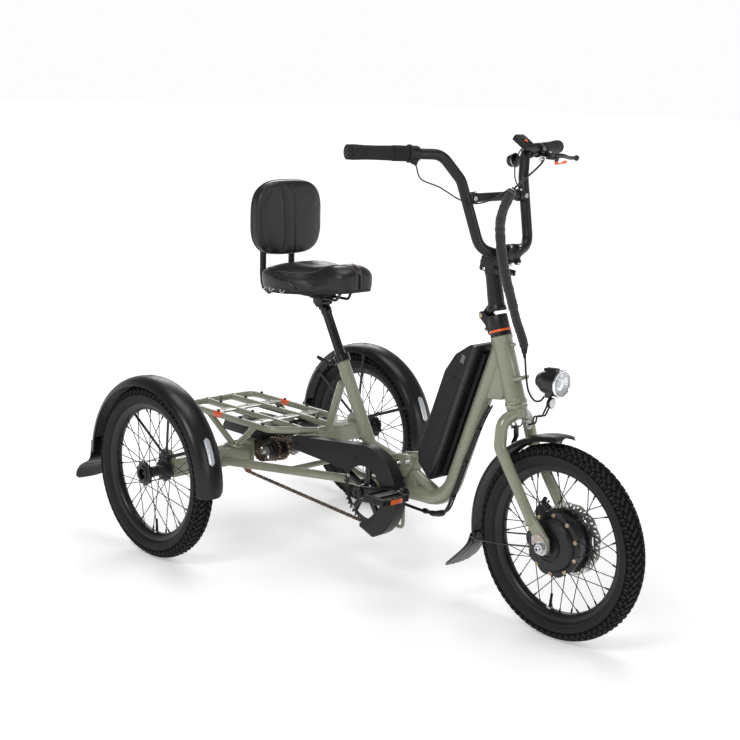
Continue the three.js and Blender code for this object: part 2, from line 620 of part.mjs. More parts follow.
// A flat cover over the upper run of the chain, round at the front, open at the inner side.
const guardOutline = [
  ...arc(CRANK_CENTRE, 124, 96, -72, 10),
  [CRANK_CENTRE.x - 12, 137], [CRANK_CENTRE.x + 12, 158],
  ...arc(CRANK_CENTRE, 68, -40, 150, 8),
  [-690, 282], [-884, 292], [-898, 302], [-898, 322], [-892, 330],
];
piece('chain_guard', BLACK_SATIN,
  plate(guardOutline, -72, -69),
  plate([
    ...arc(CRANK_CENTRE, 124, 96, -72, 10), ...arc(CRANK_CENTRE, 121, -72, 96, 10),
    [-890, 327], [-892, 330],
  ], -71, -38));

// Cover over the hub of the rear drive.
piece('chain_cover', BLACK_SATIN, cut(
  plate([[-1215, 296], [-1200, 318], [-1060, 322], [-1032, 310], [-1032, 290]], -66, 66),
  plate([[-1212, 280], [-1211, 295], [-1198, 315], [-1061, 319], [-1028, 306], [-1028, 280]], -63, 63),
));

// ---- cranks and pedals --------------------------------------------------------------------------------
function crankArm(side) {
  const turn = side > 0 ? CRANK_LEAN + Math.PI : CRANK_LEAN;
  const end = CRANK_CENTRE.clone().add(V(CRANK_LENGTH * Math.cos(turn), 0, CRANK_LENGTH * Math.sin(turn)));
  const inner = side * 75;
  const outer = side * 97;
  const middle = (inner + outer) / 2;
  const arm = rod(CRANK_CENTRE.clone().setY(middle), end.clone().setY(middle), 11, 8, 9);
  return { end, arm: join(
    arm, rod(CRANK_CENTRE.clone().setY(inner - side * 4), CRANK_CENTRE.clone().setY(outer + side), 17, 12),
    rod(end.clone().setY(inner), end.clone().setY(outer), 13, 10)) };
}

const rightCrank = crankArm(-1);
const leftCrank = crankArm(1);
piece('crank_right', BLACK_SATIN, rightCrank.arm,
  rod(CRANK_CENTRE.clone().setY(-80), CRANK_CENTRE.clone().setY(-56), 20, 10),
  rod(CRANK_CENTRE.clone().setY(-80), CRANK_CENTRE.clone().setY(40), 8.6, 12));
piece('crank_left', BLACK_SATIN, leftCrank.arm,
  rod(CRANK_CENTRE.clone().setY(76), CRANK_CENTRE.clone().setY(40.5), 8.6, 10));

function pedal(end, side) {
  const y = (offset) => side * offset;
  const body = (from, to, x, width) => (
    block(V(end.x + x, y((from + to) / 2), end.z), V(width, to - from, 20))
  );
  return join(
    rod(end.clone().setY(y(97.5)), end.clone().setY(y(190)), 6.5, 8),
    body(106, 118, 0, 82), body(184, 196, 0, 70), body(112, 190, 36, 10), body(112, 190, -36, 10),
    body(114, 188, 0, 30));
}

piece('pedal_right', BLACK_SATIN, pedal(rightCrank.end, -1));
piece('pedal_left', BLACK_SATIN, pedal(leftCrank.end, 1));

// ---- rear fenders -------------------------------------------------------------------------------------
for (const side of [-1, 1]) {
  const centre = rearHubCentre(side);
  const stayY = side * (BEAM_OUTER_Y + 2.6);
  const stayRoot = WHEEL_RADIUS + 32;
  const strap = (angle) => {
    const out = V(Math.cos(angle), 0, Math.sin(angle)).multiplyScalar(251);
    const root = V(REAR_AXLE_X + out.x * 0.04, stayY, stayRoot);
    return rod(root, V(REAR_AXLE_X + out.x, side * (REAR_TRACK_HALF - 36), WHEEL_RADIUS + out.z), 1.8, 4);
  };
  piece(`rear_fender_${side > 0 ? 'left' : 'right'}`, BLACK_GLOSS,
    fender(centre, 262, 43, -3, 178, 12, 24),
    mudflap(V(-1340, centre.y, 254), V(-REAR_REACH + 1.5, centre.y, 156), 38, 50),
    strap(2.46), strap(1.49), strap(0.47),
    rod(V(REAR_AXLE_X, side * (BEAM_OUTER_Y + 0.8), stayRoot),
      V(REAR_AXLE_X, side * (BEAM_OUTER_Y + 4.4), stayRoot), 16, 8));
}

// ---- seat ---------------------------------------------------------------------------------------------
const COLLAR = SEAT_TUBE_TOP.clone().addScaledVector(SEAT_UP, -11);
piece('seat_collar', BLACK_SATIN, cut(
  join(
    rod(COLLAR.clone().addScaledVector(SEAT_UP, -10), COLLAR.clone().addScaledVector(SEAT_UP, 10), 22, 12),
    block(COLLAR.clone().add(V(-26, 0, -14)), V(14, 22, 14))),
  bore(COLLAR.clone().addScaledVector(SEAT_UP, -40), COLLAR.clone().addScaledVector(SEAT_UP, 40),
    SEAT_TUBE_RADIUS),
  rod(COLLAR.clone().add(V(-28, -20, -15)), COLLAR.clone().add(V(-28, 20, -15)), 3.6, 8),
));
piece('collar_lever', BLACK_GLOSS,
  rod(COLLAR.clone().add(V(-28, -17, -15)), COLLAR.clone().add(V(-28, 14, -15)), 3.2, 8),
  rod(COLLAR.clone().add(V(-28, -25, -15)), COLLAR.clone().add(V(-28, -16, -15)), 7, 10),
  rod(COLLAR.clone().add(V(-28, -24, -15)), COLLAR.clone().add(V(-62, -30, -3)), 5, 8, 6));

const SADDLE_PIVOT = SEAT_CLAMP.clone().add(V(-12, 0, 18));
const RAIL_Z = SEAT_CLAMP.z + 37;
const RAIL_RADIUS_SADDLE = 4;
const SADDLE_BASE_Z = RAIL_Z + 10;
piece('seat_post', BLACK_GLOSS,
  rod(SEAT_TUBE_TOP.clone().addScaledVector(SEAT_UP, -92), SEAT_CLAMP, SEAT_POST_RADIUS, 12),
  rod(SADDLE_PIVOT.clone().setY(-17), SADDLE_PIVOT.clone().setY(17), 13, 10),
  block(SEAT_CLAMP.clone().add(V(-4, 0, 4)), V(26, 26, 18)));

piece('saddle_frame', BLACK_SATIN,
  block(SADDLE_PIVOT.clone().add(V(0, 0, 17.6)), V(44, 56, 8)),
  [-1, 1].map((side) => tube(bent([
    V(-764, side * 20, SADDLE_BASE_Z - 4.8), V(-792, side * 22, RAIL_Z), V(-920, side * 22, RAIL_Z),
    V(-985, side * 40, RAIL_Z + 4), V(-1010, side * 50, RAIL_Z + 4),
  ], 24, 2), RAIL_RADIUS_SADDLE, 6)),
  block(V(-1006, 0, RAIL_Z + 2), V(12, 132, 14)));
piece('backrest_tubes', BLACK_GLOSS,
  [-1, 1].map((side) => tube(bent([
    V(-1024, side * 52, RAIL_Z - 4), V(-1056, side * 52, 764), V(-1056, side * 52, 940),
  ], 40, 3), 9, 8)),
  rod(V(-1021, -60, RAIL_Z + 2), V(-1021, 60, RAIL_Z + 2), 7, 8));

// The saddle and the backrest pad as plain solids of their outer shape.
function roundedPad(halfWidth, halfHeight, corner) {
  const shape = new THREE.Shape();
  shape.moveTo(halfWidth, -halfHeight + corner);
  shape.lineTo(halfWidth, halfHeight - corner);
  shape.absarc(halfWidth - corner, halfHeight - corner, corner, 0, Math.PI / 2);
  shape.absarc(-halfWidth + corner, halfHeight - corner, corner, Math.PI / 2, Math.PI);
  shape.absarc(-halfWidth + corner, -halfHeight + corner, corner, Math.PI, 1.5 * Math.PI);
  shape.absarc(halfWidth - corner, -halfHeight + corner, corner, 1.5 * Math.PI, 2 * Math.PI);
  return shape;
}

const padGeometry = new THREE.ExtrudeGeometry(roundedPad(108, 93, 60), {
  depth: 26, curveSegments: 4, bevelEnabled: true, bevelThickness: 12, bevelSize: 12, bevelSegments: 2,
});
padGeometry.rotateY(Math.PI / 2);
padGeometry.rotateX(Math.PI / 2);
padGeometry.translate(-1034, 0, 923);
piece('backrest_pad', LEATHER, solid(padGeometry));

// Half-width of the saddle at stations from the rear edge to the nose.
const SADDLE_PLAN = [
  [-1008, 66], [-998, 106], [-958, 127], [-905, SADDLE_HALF_WIDTH], [-850, 115], [-805, 92], [-765, 77],
  [-730, 66], [-712, 44],
];
const saddleOutline = [...SADDLE_PLAN, ...SADDLE_PLAN.slice().reverse().map(([x, half]) => [x, -half])];
const saddleGeometry = new THREE.ExtrudeGeometry(
  new THREE.Shape(saddleOutline.map(([x, y]) => new THREE.Vector2(x, y))),
  { depth: 50, bevelEnabled: true, bevelThickness: 12, bevelSize: 8, bevelOffset: -8, bevelSegments: 1 });
// The top climbs towards the nose, and so does the underside in front of the seat post.
const saddlePoints = saddleGeometry.getAttribute('position');
for (let i = 0; i < saddlePoints.count; i += 1) {
  const x = saddlePoints.getX(i);
  const rise = saddlePoints.getZ(i) > 20 ? 0.06 * (x + 1012) : Math.max(0, 0.13 * (x + 850));
  saddlePoints.setZ(i, saddlePoints.getZ(i) + rise);
}
saddleGeometry.translate(0, 0, SADDLE_BASE_Z + 12);
piece('saddle', LEATHER, solid(saddleGeometry));

// ---- folding mast and handlebar -----------------------------------------------------------------------
const MAST_FOOT = V(-231, 0, 773);
piece('stem_mast', BLACK_GLOSS, cut(
  join(
    rod(MAST_FOOT, V(-247, 0, 850), 24, 12, 19),
    rod(MAST_FOOT, V(-229.5, 0, 766), 24, 12),
    rod(V(-247, 0, 850), V(-251, 0, 872), 20, 10),
    block(V(-252, 0, 878), V(46, 42, 38), 0.2),
    rod(BAR_CLAMP.clone().setY(-24), BAR_CLAMP.clone().setY(24), 24, 12),
    block(V(-228, 0, 895), V(46, 40, 30), 0.2),
    block(V(-216, 16, 864), V(48, 5, 14)), block(V(-216, -16, 864), V(48, 5, 14)),
    plate([
      [-275, 756], [-273, 748], [-266, 744.5], [-259, 746], [-250, 760], [-236, 772], [-252, 784],
    ], -7, 7)),
  bore(BAR_CLAMP.clone().setY(-40), BAR_CLAMP.clone().setY(40), BAR_RADIUS),
  bore(FOLD_PIN.clone().setY(-30), FOLD_PIN.clone().setY(30), 4.5, 8),
  rod(alongHead(HEAD_TUBE_LENGTH - 10), alongHead(HEAD_TUBE_LENGTH + 52 + GAP * 2), 60, 8),
));
piece('fold_latch', BLACK_GLOSS,
  rod(V(-200, 0, 860), V(-186, 0, 788), 6, 8, 5), rod(V(-200, -12, 862), V(-200, 12, 862), 6, 8));

const barPath = bent([
  sided(GRIP_END, -1), sided(BAR_BEND, -1), V(-262, -112, 1082), V(-217, -88, 925),
  BAR_CLAMP.clone().setY(-34), BAR_CLAMP.clone().setY(34),
  V(-217, 88, 925), V(-262, 112, 1082), BAR_BEND, GRIP_END,
], 46, 3);
piece('handlebar', BLACK_GLOSS,
  tube(barPath, BAR_RADIUS, 8), rod(V(-250, -102, 1041), V(-250, 102, 1041), 9, 8));

// A sleeve on the straight end of the bar, from one distance to another measured inwards from its end.
const barAlong = BAR_BEND.clone().sub(GRIP_END).normalize();
const onBar = (side, distance) => sided(GRIP_END.clone().addScaledVector(barAlong, distance), side);
function barSleeve(side, from, to, radius, sides = 10) {
  return cut(
    rod(onBar(side, from), onBar(side, to), radius, sides),
    bore(onBar(side, from - 1), onBar(side, to + 1), BAR_RADIUS, 8));
}

const endCap = (side) => rod(onBar(side, -4), onBar(side, -GAP), GRIP_RADIUS, 10);
piece('grip_right', BLACK_RUBBER, join(barSleeve(-1, -GAP - 0.4, 112, GRIP_RADIUS), endCap(-1)));
piece('grip_left', BLACK_RUBBER, join(barSleeve(1, -GAP - 0.4, 122, GRIP_RADIUS), endCap(1)));
piece('throttle', BLACK_RUBBER, barSleeve(-1, 113, 150, 18));
piece('throttle_housing', BLACK_SATIN,
  barSleeve(-1, 150.5, 178, 19), cut(
    block(onBar(-1, 160).add(V(10, 0, -16)), V(16, 18, 14)),
    bore(onBar(-1, 140), onBar(-1, 190), BAR_RADIUS + 2, 8)));

// Brake lever bracket, lever, parking lock, display and bell on the left.
const leverPivot = onBar(1, 146).add(V(40, 0, -12));
piece('brake_mount', BLACK_SATIN, cut(
  join(
    rod(onBar(1, 134), onBar(1, 158), 18, 8),
    rod(onBar(1, 146), leverPivot, 9, 8),
    rod(leverPivot.clone().add(V(0, 0, -8)), leverPivot.clone().add(V(0, 0, 8)), 11, 8),
    block(leverPivot.clone().add(V(4, 9, -7.7)), V(16, 26, 4.6)),
    rod(leverPivot.clone().add(V(8, 16, -13.7)), leverPivot.clone().add(V(8, 16, -7)), 5, 8)),
  bore(onBar(1, 120), onBar(1, 178), BAR_RADIUS + 0.2, 8),
  rod(leverPivot.clone().add(V(2, 0, -4)), leverPivot.clone().add(V(2, 0, 4)), 30, 8)
    .subtract(rod(onBar(1, 120), onBar(1, 170), 19.5, 10))
    .subtract(rod(leverPivot.clone().add(V(-34, 0, -9)), leverPivot.clone().add(V(-17, 0, 6)), 12, 8)),
  rod(leverPivot.clone().add(V(0, 0, -20)), leverPivot.clone().add(V(0, 0, 20)), 3, 8),
));
const leverTip = V(-285, 345, 1123);
piece('brake_lever', BLACK_GLOSS,
  rod(leverPivot, leverTip, 3.2, 6),
  rod(leverPivot.clone().add(V(0, 0, -3.2)), leverPivot.clone().add(V(0, 0, 3.2)), 8, 8),
  rod(leverPivot.clone().add(V(0, 0, -7.6)), leverPivot.clone().add(V(0, 0, 7.6)), 2.5, 8),
  solid(new THREE.SphereGeometry(8, 8, 6).translate(leverTip.x, leverTip.y, leverTip.z)));
piece('parking_lock', ORANGE,
  rod(leverPivot.clone().add(V(8, 16, -19)), leverPivot.clone().add(V(14, 46, -13)), 3, 6, 5),
  rod(leverPivot.clone().add(V(8, 16, -22)), leverPivot.clone().add(V(8, 16, -14)), 5, 8));

const DISPLAY = V(-297, 152, 1163);
const displayTilt = 0.55;
piece('display', BLACK_SATIN, cut(
  join(block(DISPLAY, V(52, 40, 14), displayTilt), rod(onBar(1, 206), onBar(1, 222), 17, 12),
    block(onBar(1, 214).add(V(2, -4, 14)), V(14, 12, 16))),
  bore(onBar(1, 190), onBar(1, 236), BAR_RADIUS + 0.4, 8),
  rod(V(-300, 152, 1160), V(-288, 152, 1182), 5.3, 8),
));
piece('power_button', ORANGE, rod(V(-297.6, 152, 1164.4), V(-293.4, 152, 1172.1), 4.9, 8));
piece('bell', BLACK_GLOSS,
  rod(V(-318, 148, 1120), V(-344, 148, 1116), 18, 14, 15));

// ---- cables -------------------------------------------------------------------------------------------
function smooth(points, steps) {
  return new THREE.CatmullRomCurve3(points, false, 'centripetal').getSpacedPoints(steps);
}

const sleeveRoute = [
  V(-212, 14, 1058), V(-213, 4, 1042), V(-212, -14, 1016), V(-203, -34, 985), V(-188, -48, 948),
  V(-178, -50, 907),
  V(-169, -44, 858), V(-163, -32, 816), V(-160, -20, 780),
];
const branchRoute = [
  V(-159.8, -19.4, 778), V(-158, -10, 752), V(-152, -4, 730), V(-142, -1, 704), V(-139, 0, 692),
];
const lampRoute = [
  V(-141, 0, 698), V(-134, 0, 660), V(-128, 0, 620), V(-118, 0, 586), V(-98, 0, 568), V(-80, 0, 572),
  V(-71, 0, 583),
];
piece('cable_sleeve', FABRIC, tube(smooth(sleeveRoute, 12), 12, 8));
piece('cable_sleeve_lower', FABRIC,
  tube(smooth(branchRoute, 7), 11, 8), tube(smooth(lampRoute, 12), 2.5, 5));
piece('brake_cable', BLACK_RUBBER, tube(smooth([
  V(-294, 226, 1121), V(-272, 190, 1113), V(-250, 140, 1100), V(-232, 90, 1086), V(-220, 50, 1074),
  V(-213, 22, 1062),
], 12), 2.6, 5));
piece('frame_cables', BLACK_RUBBER, tube(smooth([
  V(-206, -40, 540), V(-232, -34, 500), V(-262, -30, 440), V(-296, -28, 360), V(-324, -26, 290),
  V(-352, -22, 236),
  V(-392, -12, 216), V(-440, -8, 210), V(-520, -8, 212), V(-560, -8, 214),
], 14), 4, 5));

export default tricycle;
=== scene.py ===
# Adult electric tricycle: the visual model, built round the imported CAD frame.
# Shapes are written in millimetres from the point on the ground under the front axle, +X forward,
# +Y to the rider's left, +Z up, and row() moves them into the row frame in metres.
import json
import math

import bmesh
import bpy
import numpy as np
from mathutils.bvhtree import BVHTree
from mathutils import Matrix, Vector
from mathutils.geometry import delaunay_2d_cdt


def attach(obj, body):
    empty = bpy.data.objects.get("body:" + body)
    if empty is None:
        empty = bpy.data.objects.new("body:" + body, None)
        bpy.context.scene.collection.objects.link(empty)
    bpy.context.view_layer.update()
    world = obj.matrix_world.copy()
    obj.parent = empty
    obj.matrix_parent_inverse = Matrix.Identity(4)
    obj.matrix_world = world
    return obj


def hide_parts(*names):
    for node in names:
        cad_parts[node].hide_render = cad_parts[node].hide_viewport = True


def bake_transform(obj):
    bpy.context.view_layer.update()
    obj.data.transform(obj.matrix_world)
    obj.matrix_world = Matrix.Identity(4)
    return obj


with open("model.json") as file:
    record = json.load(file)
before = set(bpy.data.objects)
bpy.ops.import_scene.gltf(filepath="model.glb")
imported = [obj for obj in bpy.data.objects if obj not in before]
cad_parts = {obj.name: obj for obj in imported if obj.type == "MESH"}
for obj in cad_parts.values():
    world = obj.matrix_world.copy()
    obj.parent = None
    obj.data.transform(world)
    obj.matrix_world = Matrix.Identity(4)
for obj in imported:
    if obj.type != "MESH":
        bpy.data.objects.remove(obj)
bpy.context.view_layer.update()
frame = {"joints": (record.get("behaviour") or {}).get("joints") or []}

JOINT = {joint["name"]: joint for joint in frame["joints"]}


def joint_at(name):
    """Where a joint is in the row frame, in millimetres."""
    return np.array(JOINT[name]["pos_m"]) * 1000


# ---- the frame of the drawing --------------------------------------------------------------------------
ORIGIN = np.array([joint_at("front_wheel_spin")[0], 0, 0])


def at_joint(name):
    """Where a joint is in the drawing's frame."""
    return joint_at(name) - ORIGIN


def row(points):
    """Moves points of the drawing into the row frame, in metres."""
    return (np.asarray(points, float) + ORIGIN) / 1000


AXLE = at_joint("front_wheel_spin")
REAR = at_joint("right_wheel_spin")
TRACK = abs(REAR[1])
CRANK = at_joint("crank_turn")
SHAFT = at_joint("middle_shaft_turn")
IDLER = at_joint("tension_wheel_turn")
HEAD = at_joint("steering")
HEAD_UP = np.array(JOINT["steering"]["axis"])
HEAD_FORE = np.array([HEAD_UP[2], 0, -HEAD_UP[0]])
FOLD = at_joint("mast_fold")
Y = np.array([0, 1.0, 0])
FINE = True


def vec(*values):
    return np.array(values, float)


def head(distance, forward=0, side=0):
    """A point measured along the steering axis from its lower end."""
    return HEAD + HEAD_UP * distance + HEAD_FORE * forward + Y * side


# ---- camera, light and floor ---------------------------------------------------------------------------
TARGET = Vector(row([-645, 0, 543]))
AZIMUTH, ELEVATION, ROLL = (math.radians(a) for a in (45.777, 11.992, 1.653))
DISTANCE = 3.766
back = Vector((math.sin(AZIMUTH) * math.cos(ELEVATION), -math.cos(AZIMUTH) * math.cos(ELEVATION),
               math.sin(ELEVATION)))
right = Vector((math.cos(AZIMUTH), math.sin(AZIMUTH), 0))
up = back.cross(right)
camera = bpy.data.objects.new("camera", bpy.data.cameras.new("camera"))
bpy.context.scene.collection.objects.link(camera)
rolled_right = right * math.cos(ROLL) + up * math.sin(ROLL)
rolled_up = up * math.cos(ROLL) - right * math.sin(ROLL)
camera.matrix_world = Matrix.Translation(TARGET + back * DISTANCE) @ Matrix(
    (rolled_right, rolled_up, back)).transposed().to_4x4()
camera.data.lens = 68.9
camera.data.sensor_width = 36
camera.data.shift_x = -0.0076
camera.data.shift_y = 0.0031
camera.data.clip_end = 60
bpy.context.scene.camera = camera


def light(name, place, size, power, target=(0, 0, 0.5)):
    """A soft rectangular lamp that faces a target."""
    lamp = bpy.data.lights.new(name, "AREA")
    lamp.shape = "RECTANGLE"
    lamp.size, lamp.size_y = size
    lamp.energy = power
    holder = bpy.data.objects.new(name, lamp)
    holder.location = place
    holder.rotation_euler = (Vector(target) - Vector(place)).to_track_quat("-Z", "Y").to_euler()
    bpy.context.scene.collection.objects.link(holder)


light("key_light", (1.2, -3.4, 3.6), (2.0, 1.4), 88)
light("fill_light", (4.0, 0.6, 1.9), (1.4, 1.6), 26)
light("rim_light", (-3.6, 2.6, 2.6), (2.2, 1.4), 46)
light("top_light", (-0.2, 0.4, 4.2), (2.6, 1.8), 52)
world = bpy.data.worlds.new("studio")
world.use_nodes = True
world_tree = world.node_tree
sky_place = world_tree.nodes.new("ShaderNodeTexCoord")
sky_height = world_tree.nodes.new("ShaderNodeSeparateXYZ")
world_tree.links.new(sky_place.outputs["Generated"], sky_height.inputs[0])
sky_ramp = world_tree.nodes.new("ShaderNodeMapRange")
sky_ramp.interpolation_type = "SMOOTHSTEP"
for socket, value in (("From Min", 0.08), ("From Max", 0.36), ("To Min", 0.98), ("To Max", 0.22)):
    sky_ramp.inputs[socket].default_value = value
world_tree.links.new(sky_height.outputs["Z"], sky_ramp.inputs["Value"])
world_tree.nodes["Background"].inputs["Color"].default_value = (1, 1, 1, 1)
world_tree.links.new(sky_ramp.outputs[0], world_tree.nodes["Background"].inputs["Strength"])
bpy.context.scene.world = world
bpy.context.scene.view_settings.view_transform = "Standard"


# ---- materials -----------------------------------------------------------------------------------------
def noise(tree, scale, detail=3.0, stretch=(1, 1, 1), kind="ShaderNodeTexNoise"):
    """A noise or cell texture in the row frame, scale in features per metre."""
    coords = tree.nodes.new("ShaderNodeTexCoord")
    mapping = tree.nodes.new("ShaderNodeMapping")
    mapping.inputs["Scale"].default_value = stretch
    texture = tree.nodes.new(kind)
    texture.inputs["Scale"].default_value = scale
    if kind == "ShaderNodeTexNoise":
        texture.inputs["Detail"].default_value = detail
    tree.links.new(coords.outputs["Object"], mapping.inputs["Vector"])
    tree.links.new(mapping.outputs["Vector"], texture.inputs["Vector"])
    return texture


def spread(tree, source, low, high, start=0.3, end=0.7):
    """Maps a texture value onto low..high."""
    node = tree.nodes.new("ShaderNodeMapRange")
    for key, value in zip(("From Min", "From Max", "To Min", "To Max"), (start, end, low, high)):
        node.inputs[key].default_value = value
    tree.links.new(source, node.inputs["Value"])
    return node.outputs["Result"]


def blend_colour(tree, factor, low, high):
    node = tree.nodes.new("ShaderNodeMix")
    node.data_type = "RGBA"
    tree.links.new(factor, node.inputs["Factor"])
    for socket, colour in zip((node.inputs[6], node.inputs[7]), (low, high)):
        if isinstance(colour, tuple):
            socket.default_value = (*colour, 1)
        else:
            tree.links.new(colour, socket)
    return node.outputs[2]


def add_bump(tree, height, strength, distance, below=None):
    bump = tree.nodes.new("ShaderNodeBump")
    bump.inputs["Strength"].default_value = strength
    bump.inputs["Distance"].default_value = distance
    tree.links.new(height, bump.inputs["Height"])
    if below is not None:
        tree.links.new(below, bump.inputs["Normal"])
    return bump.outputs["Normal"]


def material(name, colour, rough, metal=0.0, coat=0.0, grain=(900, 0.12, 0.0002), shade=0.12,
             rough_spread=0.06, stretch=(1, 1, 1), cells=None, wear=None, dust=0.0, sheen=0.0, clear=0.0,
             gleam=0.5):
    """A surface whose colour drifts a little, with mottled gloss, a fine grain, and worn edges if asked for.
    grain and cells are (features per metre, strength, depth in metres), and wear is the colour under
    the finish."""
    made = bpy.data.materials.new(name)
    made.use_nodes = True
    tree = made.node_tree
    shader = tree.nodes["Principled BSDF"]
    drift = noise(tree, 9, 4, stretch)
    speckle = noise(tree, 420, 2, stretch)
    darker = tuple(c * (1 - shade) for c in colour)
    lighter = tuple(min(1, c * (1 + shade)) for c in colour)
    base = blend_colour(tree, spread(tree, drift.outputs["Fac"], 0, 1), darker, lighter)
    if wear:
        edge = tree.nodes.new("ShaderNodeNewGeometry")
        edge_amount = spread(tree, edge.outputs["Pointiness"], 0, 0.5, 0.53, 0.62)
        broken = tree.nodes.new("ShaderNodeMath")
        broken.operation = "MULTIPLY"
        tree.links.new(edge_amount, broken.inputs[0])
        tree.links.new(spread(tree, speckle.outputs["Fac"], 0, 1, 0.42, 0.6), broken.inputs[1])
        base = blend_colour(tree, broken.outputs[0], base, wear)
    if dust:
        base = blend_colour(tree, spread(tree, noise(tree, 38, 6).outputs["Fac"], 0, dust, 0.5, 0.75), base,
                            (0.30, 0.28, 0.25))
    tree.links.new(base, shader.inputs["Base Color"])
    tree.links.new(spread(tree, noise(tree, 60, 5, stretch).outputs["Fac"], rough - rough_spread,
                          rough + rough_spread), shader.inputs["Roughness"])
    shader.inputs["Metallic"].default_value = metal
    shader.inputs["Specular IOR Level"].default_value = gleam
    shader.inputs["Coat Weight"].default_value = coat
    shader.inputs["Coat Roughness"].default_value = 0.08
    shader.inputs["Sheen Weight"].default_value = sheen
    shader.inputs["Transmission Weight"].default_value = clear
    normal = add_bump(tree, noise(tree, grain[0], 2, stretch).outputs["Fac"], grain[1], grain[2])
    if cells:
        cell = noise(tree, cells[0], kind="ShaderNodeTexVoronoi", stretch=stretch)
        normal = add_bump(tree, cell.outputs["Distance"], cells[1], cells[2], normal)
    tree.links.new(normal, shader.inputs["Normal"])
    return made


def woven(name, colour, rough, pitch, depth):
    """A braid drawn on the piece's own lengthwise and round-about millimetres, kept in its UV map. Its colour
    is painted light: darker in the weave's hollows and lighter on its crests.
    """
    made = material(name, colour, rough, grain=(2500, 0.3, 0.0003), shade=0.3, sheen=0.3)
    tree = made.node_tree
    shader = tree.nodes["Principled BSDF"]
    uv = tree.nodes.new("ShaderNodeTexCoord")
    heights = []
    for turn in (1, -1):
        mapping = tree.nodes.new("ShaderNodeMapping")
        mapping.inputs["Rotation"].default_value = (0, 0, turn * math.radians(38))
        tree.links.new(uv.outputs["UV"], mapping.inputs["Vector"])
        wave = tree.nodes.new("ShaderNodeTexWave")
        wave.inputs["Scale"].default_value = 1 / pitch
        tree.links.new(mapping.outputs["Vector"], wave.inputs["Vector"])
        heights.append(wave.outputs["Fac"])
    product = tree.nodes.new("ShaderNodeMath")
    product.operation = "MULTIPLY"
    tree.links.new(heights[0], product.inputs[0])
    tree.links.new(heights[1], product.inputs[1])
    normal = add_bump(tree, product.outputs[0], 0.8, depth, shader.inputs["Normal"].links[0].from_socket)
    tree.links.new(normal, shader.inputs["Normal"])
    # Painted shade and highlight: the colour follows the weave's height, dark where it is low and light where
    # it is high.
    tree.links.new(blend_colour(tree, product.outputs[0], tuple(c * 0.35 for c in colour),
                                tuple(c * 1.8 for c in colour)), shader.inputs["Base Color"])
    return made


SAGE = material("sage_paint", (0.222, 0.234, 0.166), 0.26, coat=0.5, grain=(700, 0.04, 0.0002), shade=0.012,
                rough_spread=0.02)
GLOSS = material("black_gloss", (0.0055, 0.0055, 0.006), 0.24, coat=0.25, grain=(800, 0.05, 0.0002),
                 gleam=0.35, wear=(0.02, 0.02, 0.02))
SATIN = material("black_satin", (0.0075, 0.0075, 0.008), 0.40, grain=(1700, 0.2, 0.0001), gleam=0.35,
                 wear=(0.03, 0.03, 0.03))
HUB_BLACK = material("hub_black", (0.0065, 0.0065, 0.007), 0.36, grain=(1300, 0.14, 0.0001), gleam=0.4,
                     wear=(0.04, 0.04, 0.04))
DRUM = material("brushed_drum", (0.05, 0.053, 0.058), 0.3, metal=0.85, grain=(900, 0.25, 0.0001),
                stretch=(0.3, 6, 0.3))
PLASTIC = material("moulded_plastic", (0.006, 0.006, 0.0065), 0.42, grain=(2200, 0.35, 0.00012), gleam=0.3)
FENDER = material("fender_plastic", (0.0055, 0.0055, 0.006), 0.34, grain=(1500, 0.16, 0.00012), gleam=0.4)
TYRE = material("tyre_rubber", (0.0125, 0.0125, 0.013), 0.66, grain=(1300, 0.4, 0.0002), shade=0.12,
                gleam=0.25, cells=(520, 0.12, 0.0002))
# Painted shade: the groove floors get a darker, duller rubber than the tread, though the real tyre is one
# rubber.
GROOVE_SHADE = material("tread_groove_shade", (0.0055, 0.0055, 0.0058), 0.8, grain=(1500, 0.4, 0.0002), gleam=0.05)
RUBBER = material("grip_rubber", (0.0065, 0.0065, 0.0065), 0.6, grain=(2000, 0.35, 0.0002), gleam=0.3)
STEEL = material("bright_steel", (0.60, 0.61, 0.62), 0.27, metal=1.0, grain=(600, 0.2, 0.00008),
                 stretch=(1, 8, 1), wear=(0.8, 0.8, 0.8))
ROTOR_STEEL = material("rotor_steel", (0.66, 0.64, 0.61), 0.42, metal=0.8, grain=(900, 0.25, 0.0001))
BRASS = material("bolt_brass", (0.50, 0.42, 0.31), 0.34, metal=1.0, grain=(900, 0.2, 0.0001))
CHAIN = material("chain_steel", (0.115, 0.09, 0.07), 0.36, metal=0.9, grain=(1200, 0.3, 0.0001), shade=0.35)
ROLLER = material("chain_roller", (0.34, 0.29, 0.23), 0.34, metal=0.95, grain=(1200, 0.3, 0.0001),
                  shade=0.3)
DARK_STEEL = material("dark_steel", (0.03, 0.03, 0.032), 0.4, metal=0.8, grain=(1000, 0.3, 0.0001),
                      shade=0.3)
SPOKE = material("spoke_black", (0.012, 0.012, 0.013), 0.34, metal=0.5, grain=(1500, 0.1, 0.00005),
                 gleam=0.4)
TORQUE = material("torque_plate", (0.46, 0.385, 0.34), 0.36, metal=0.9, grain=(800, 0.25, 0.0001),
                  shade=0.12)
VINYL = material("saddle_vinyl", (0.0075, 0.0075, 0.008), 0.36, grain=(1500, 0.25, 0.0002), gleam=0.42,
                 cells=(640, 0.42, 0.0004), sheen=0.03)
THREAD = material("seam_thread", (0.065, 0.045, 0.036), 0.5, grain=(3500, 0.6, 0.0003))
# The sleeve's weave carries painted shade in its hollows and a painted highlight on its crests.
BRAID = woven("textile_sleeve", (0.011, 0.011, 0.0115), 0.8, 5.0, 0.0006)
CABLE = material("cable_black", (0.0065, 0.0065, 0.0065), 0.4, grain=(1800, 0.15, 0.0001), gleam=0.35)
ORANGE = material("orange_plastic", (0.78, 0.10, 0.018), 0.3, coat=0.3, grain=(900, 0.1, 0.0001),
                  shade=0.06)
RED = material("red_plastic", (0.42, 0.035, 0.02), 0.35, coat=0.2, grain=(900, 0.1, 0.0001))
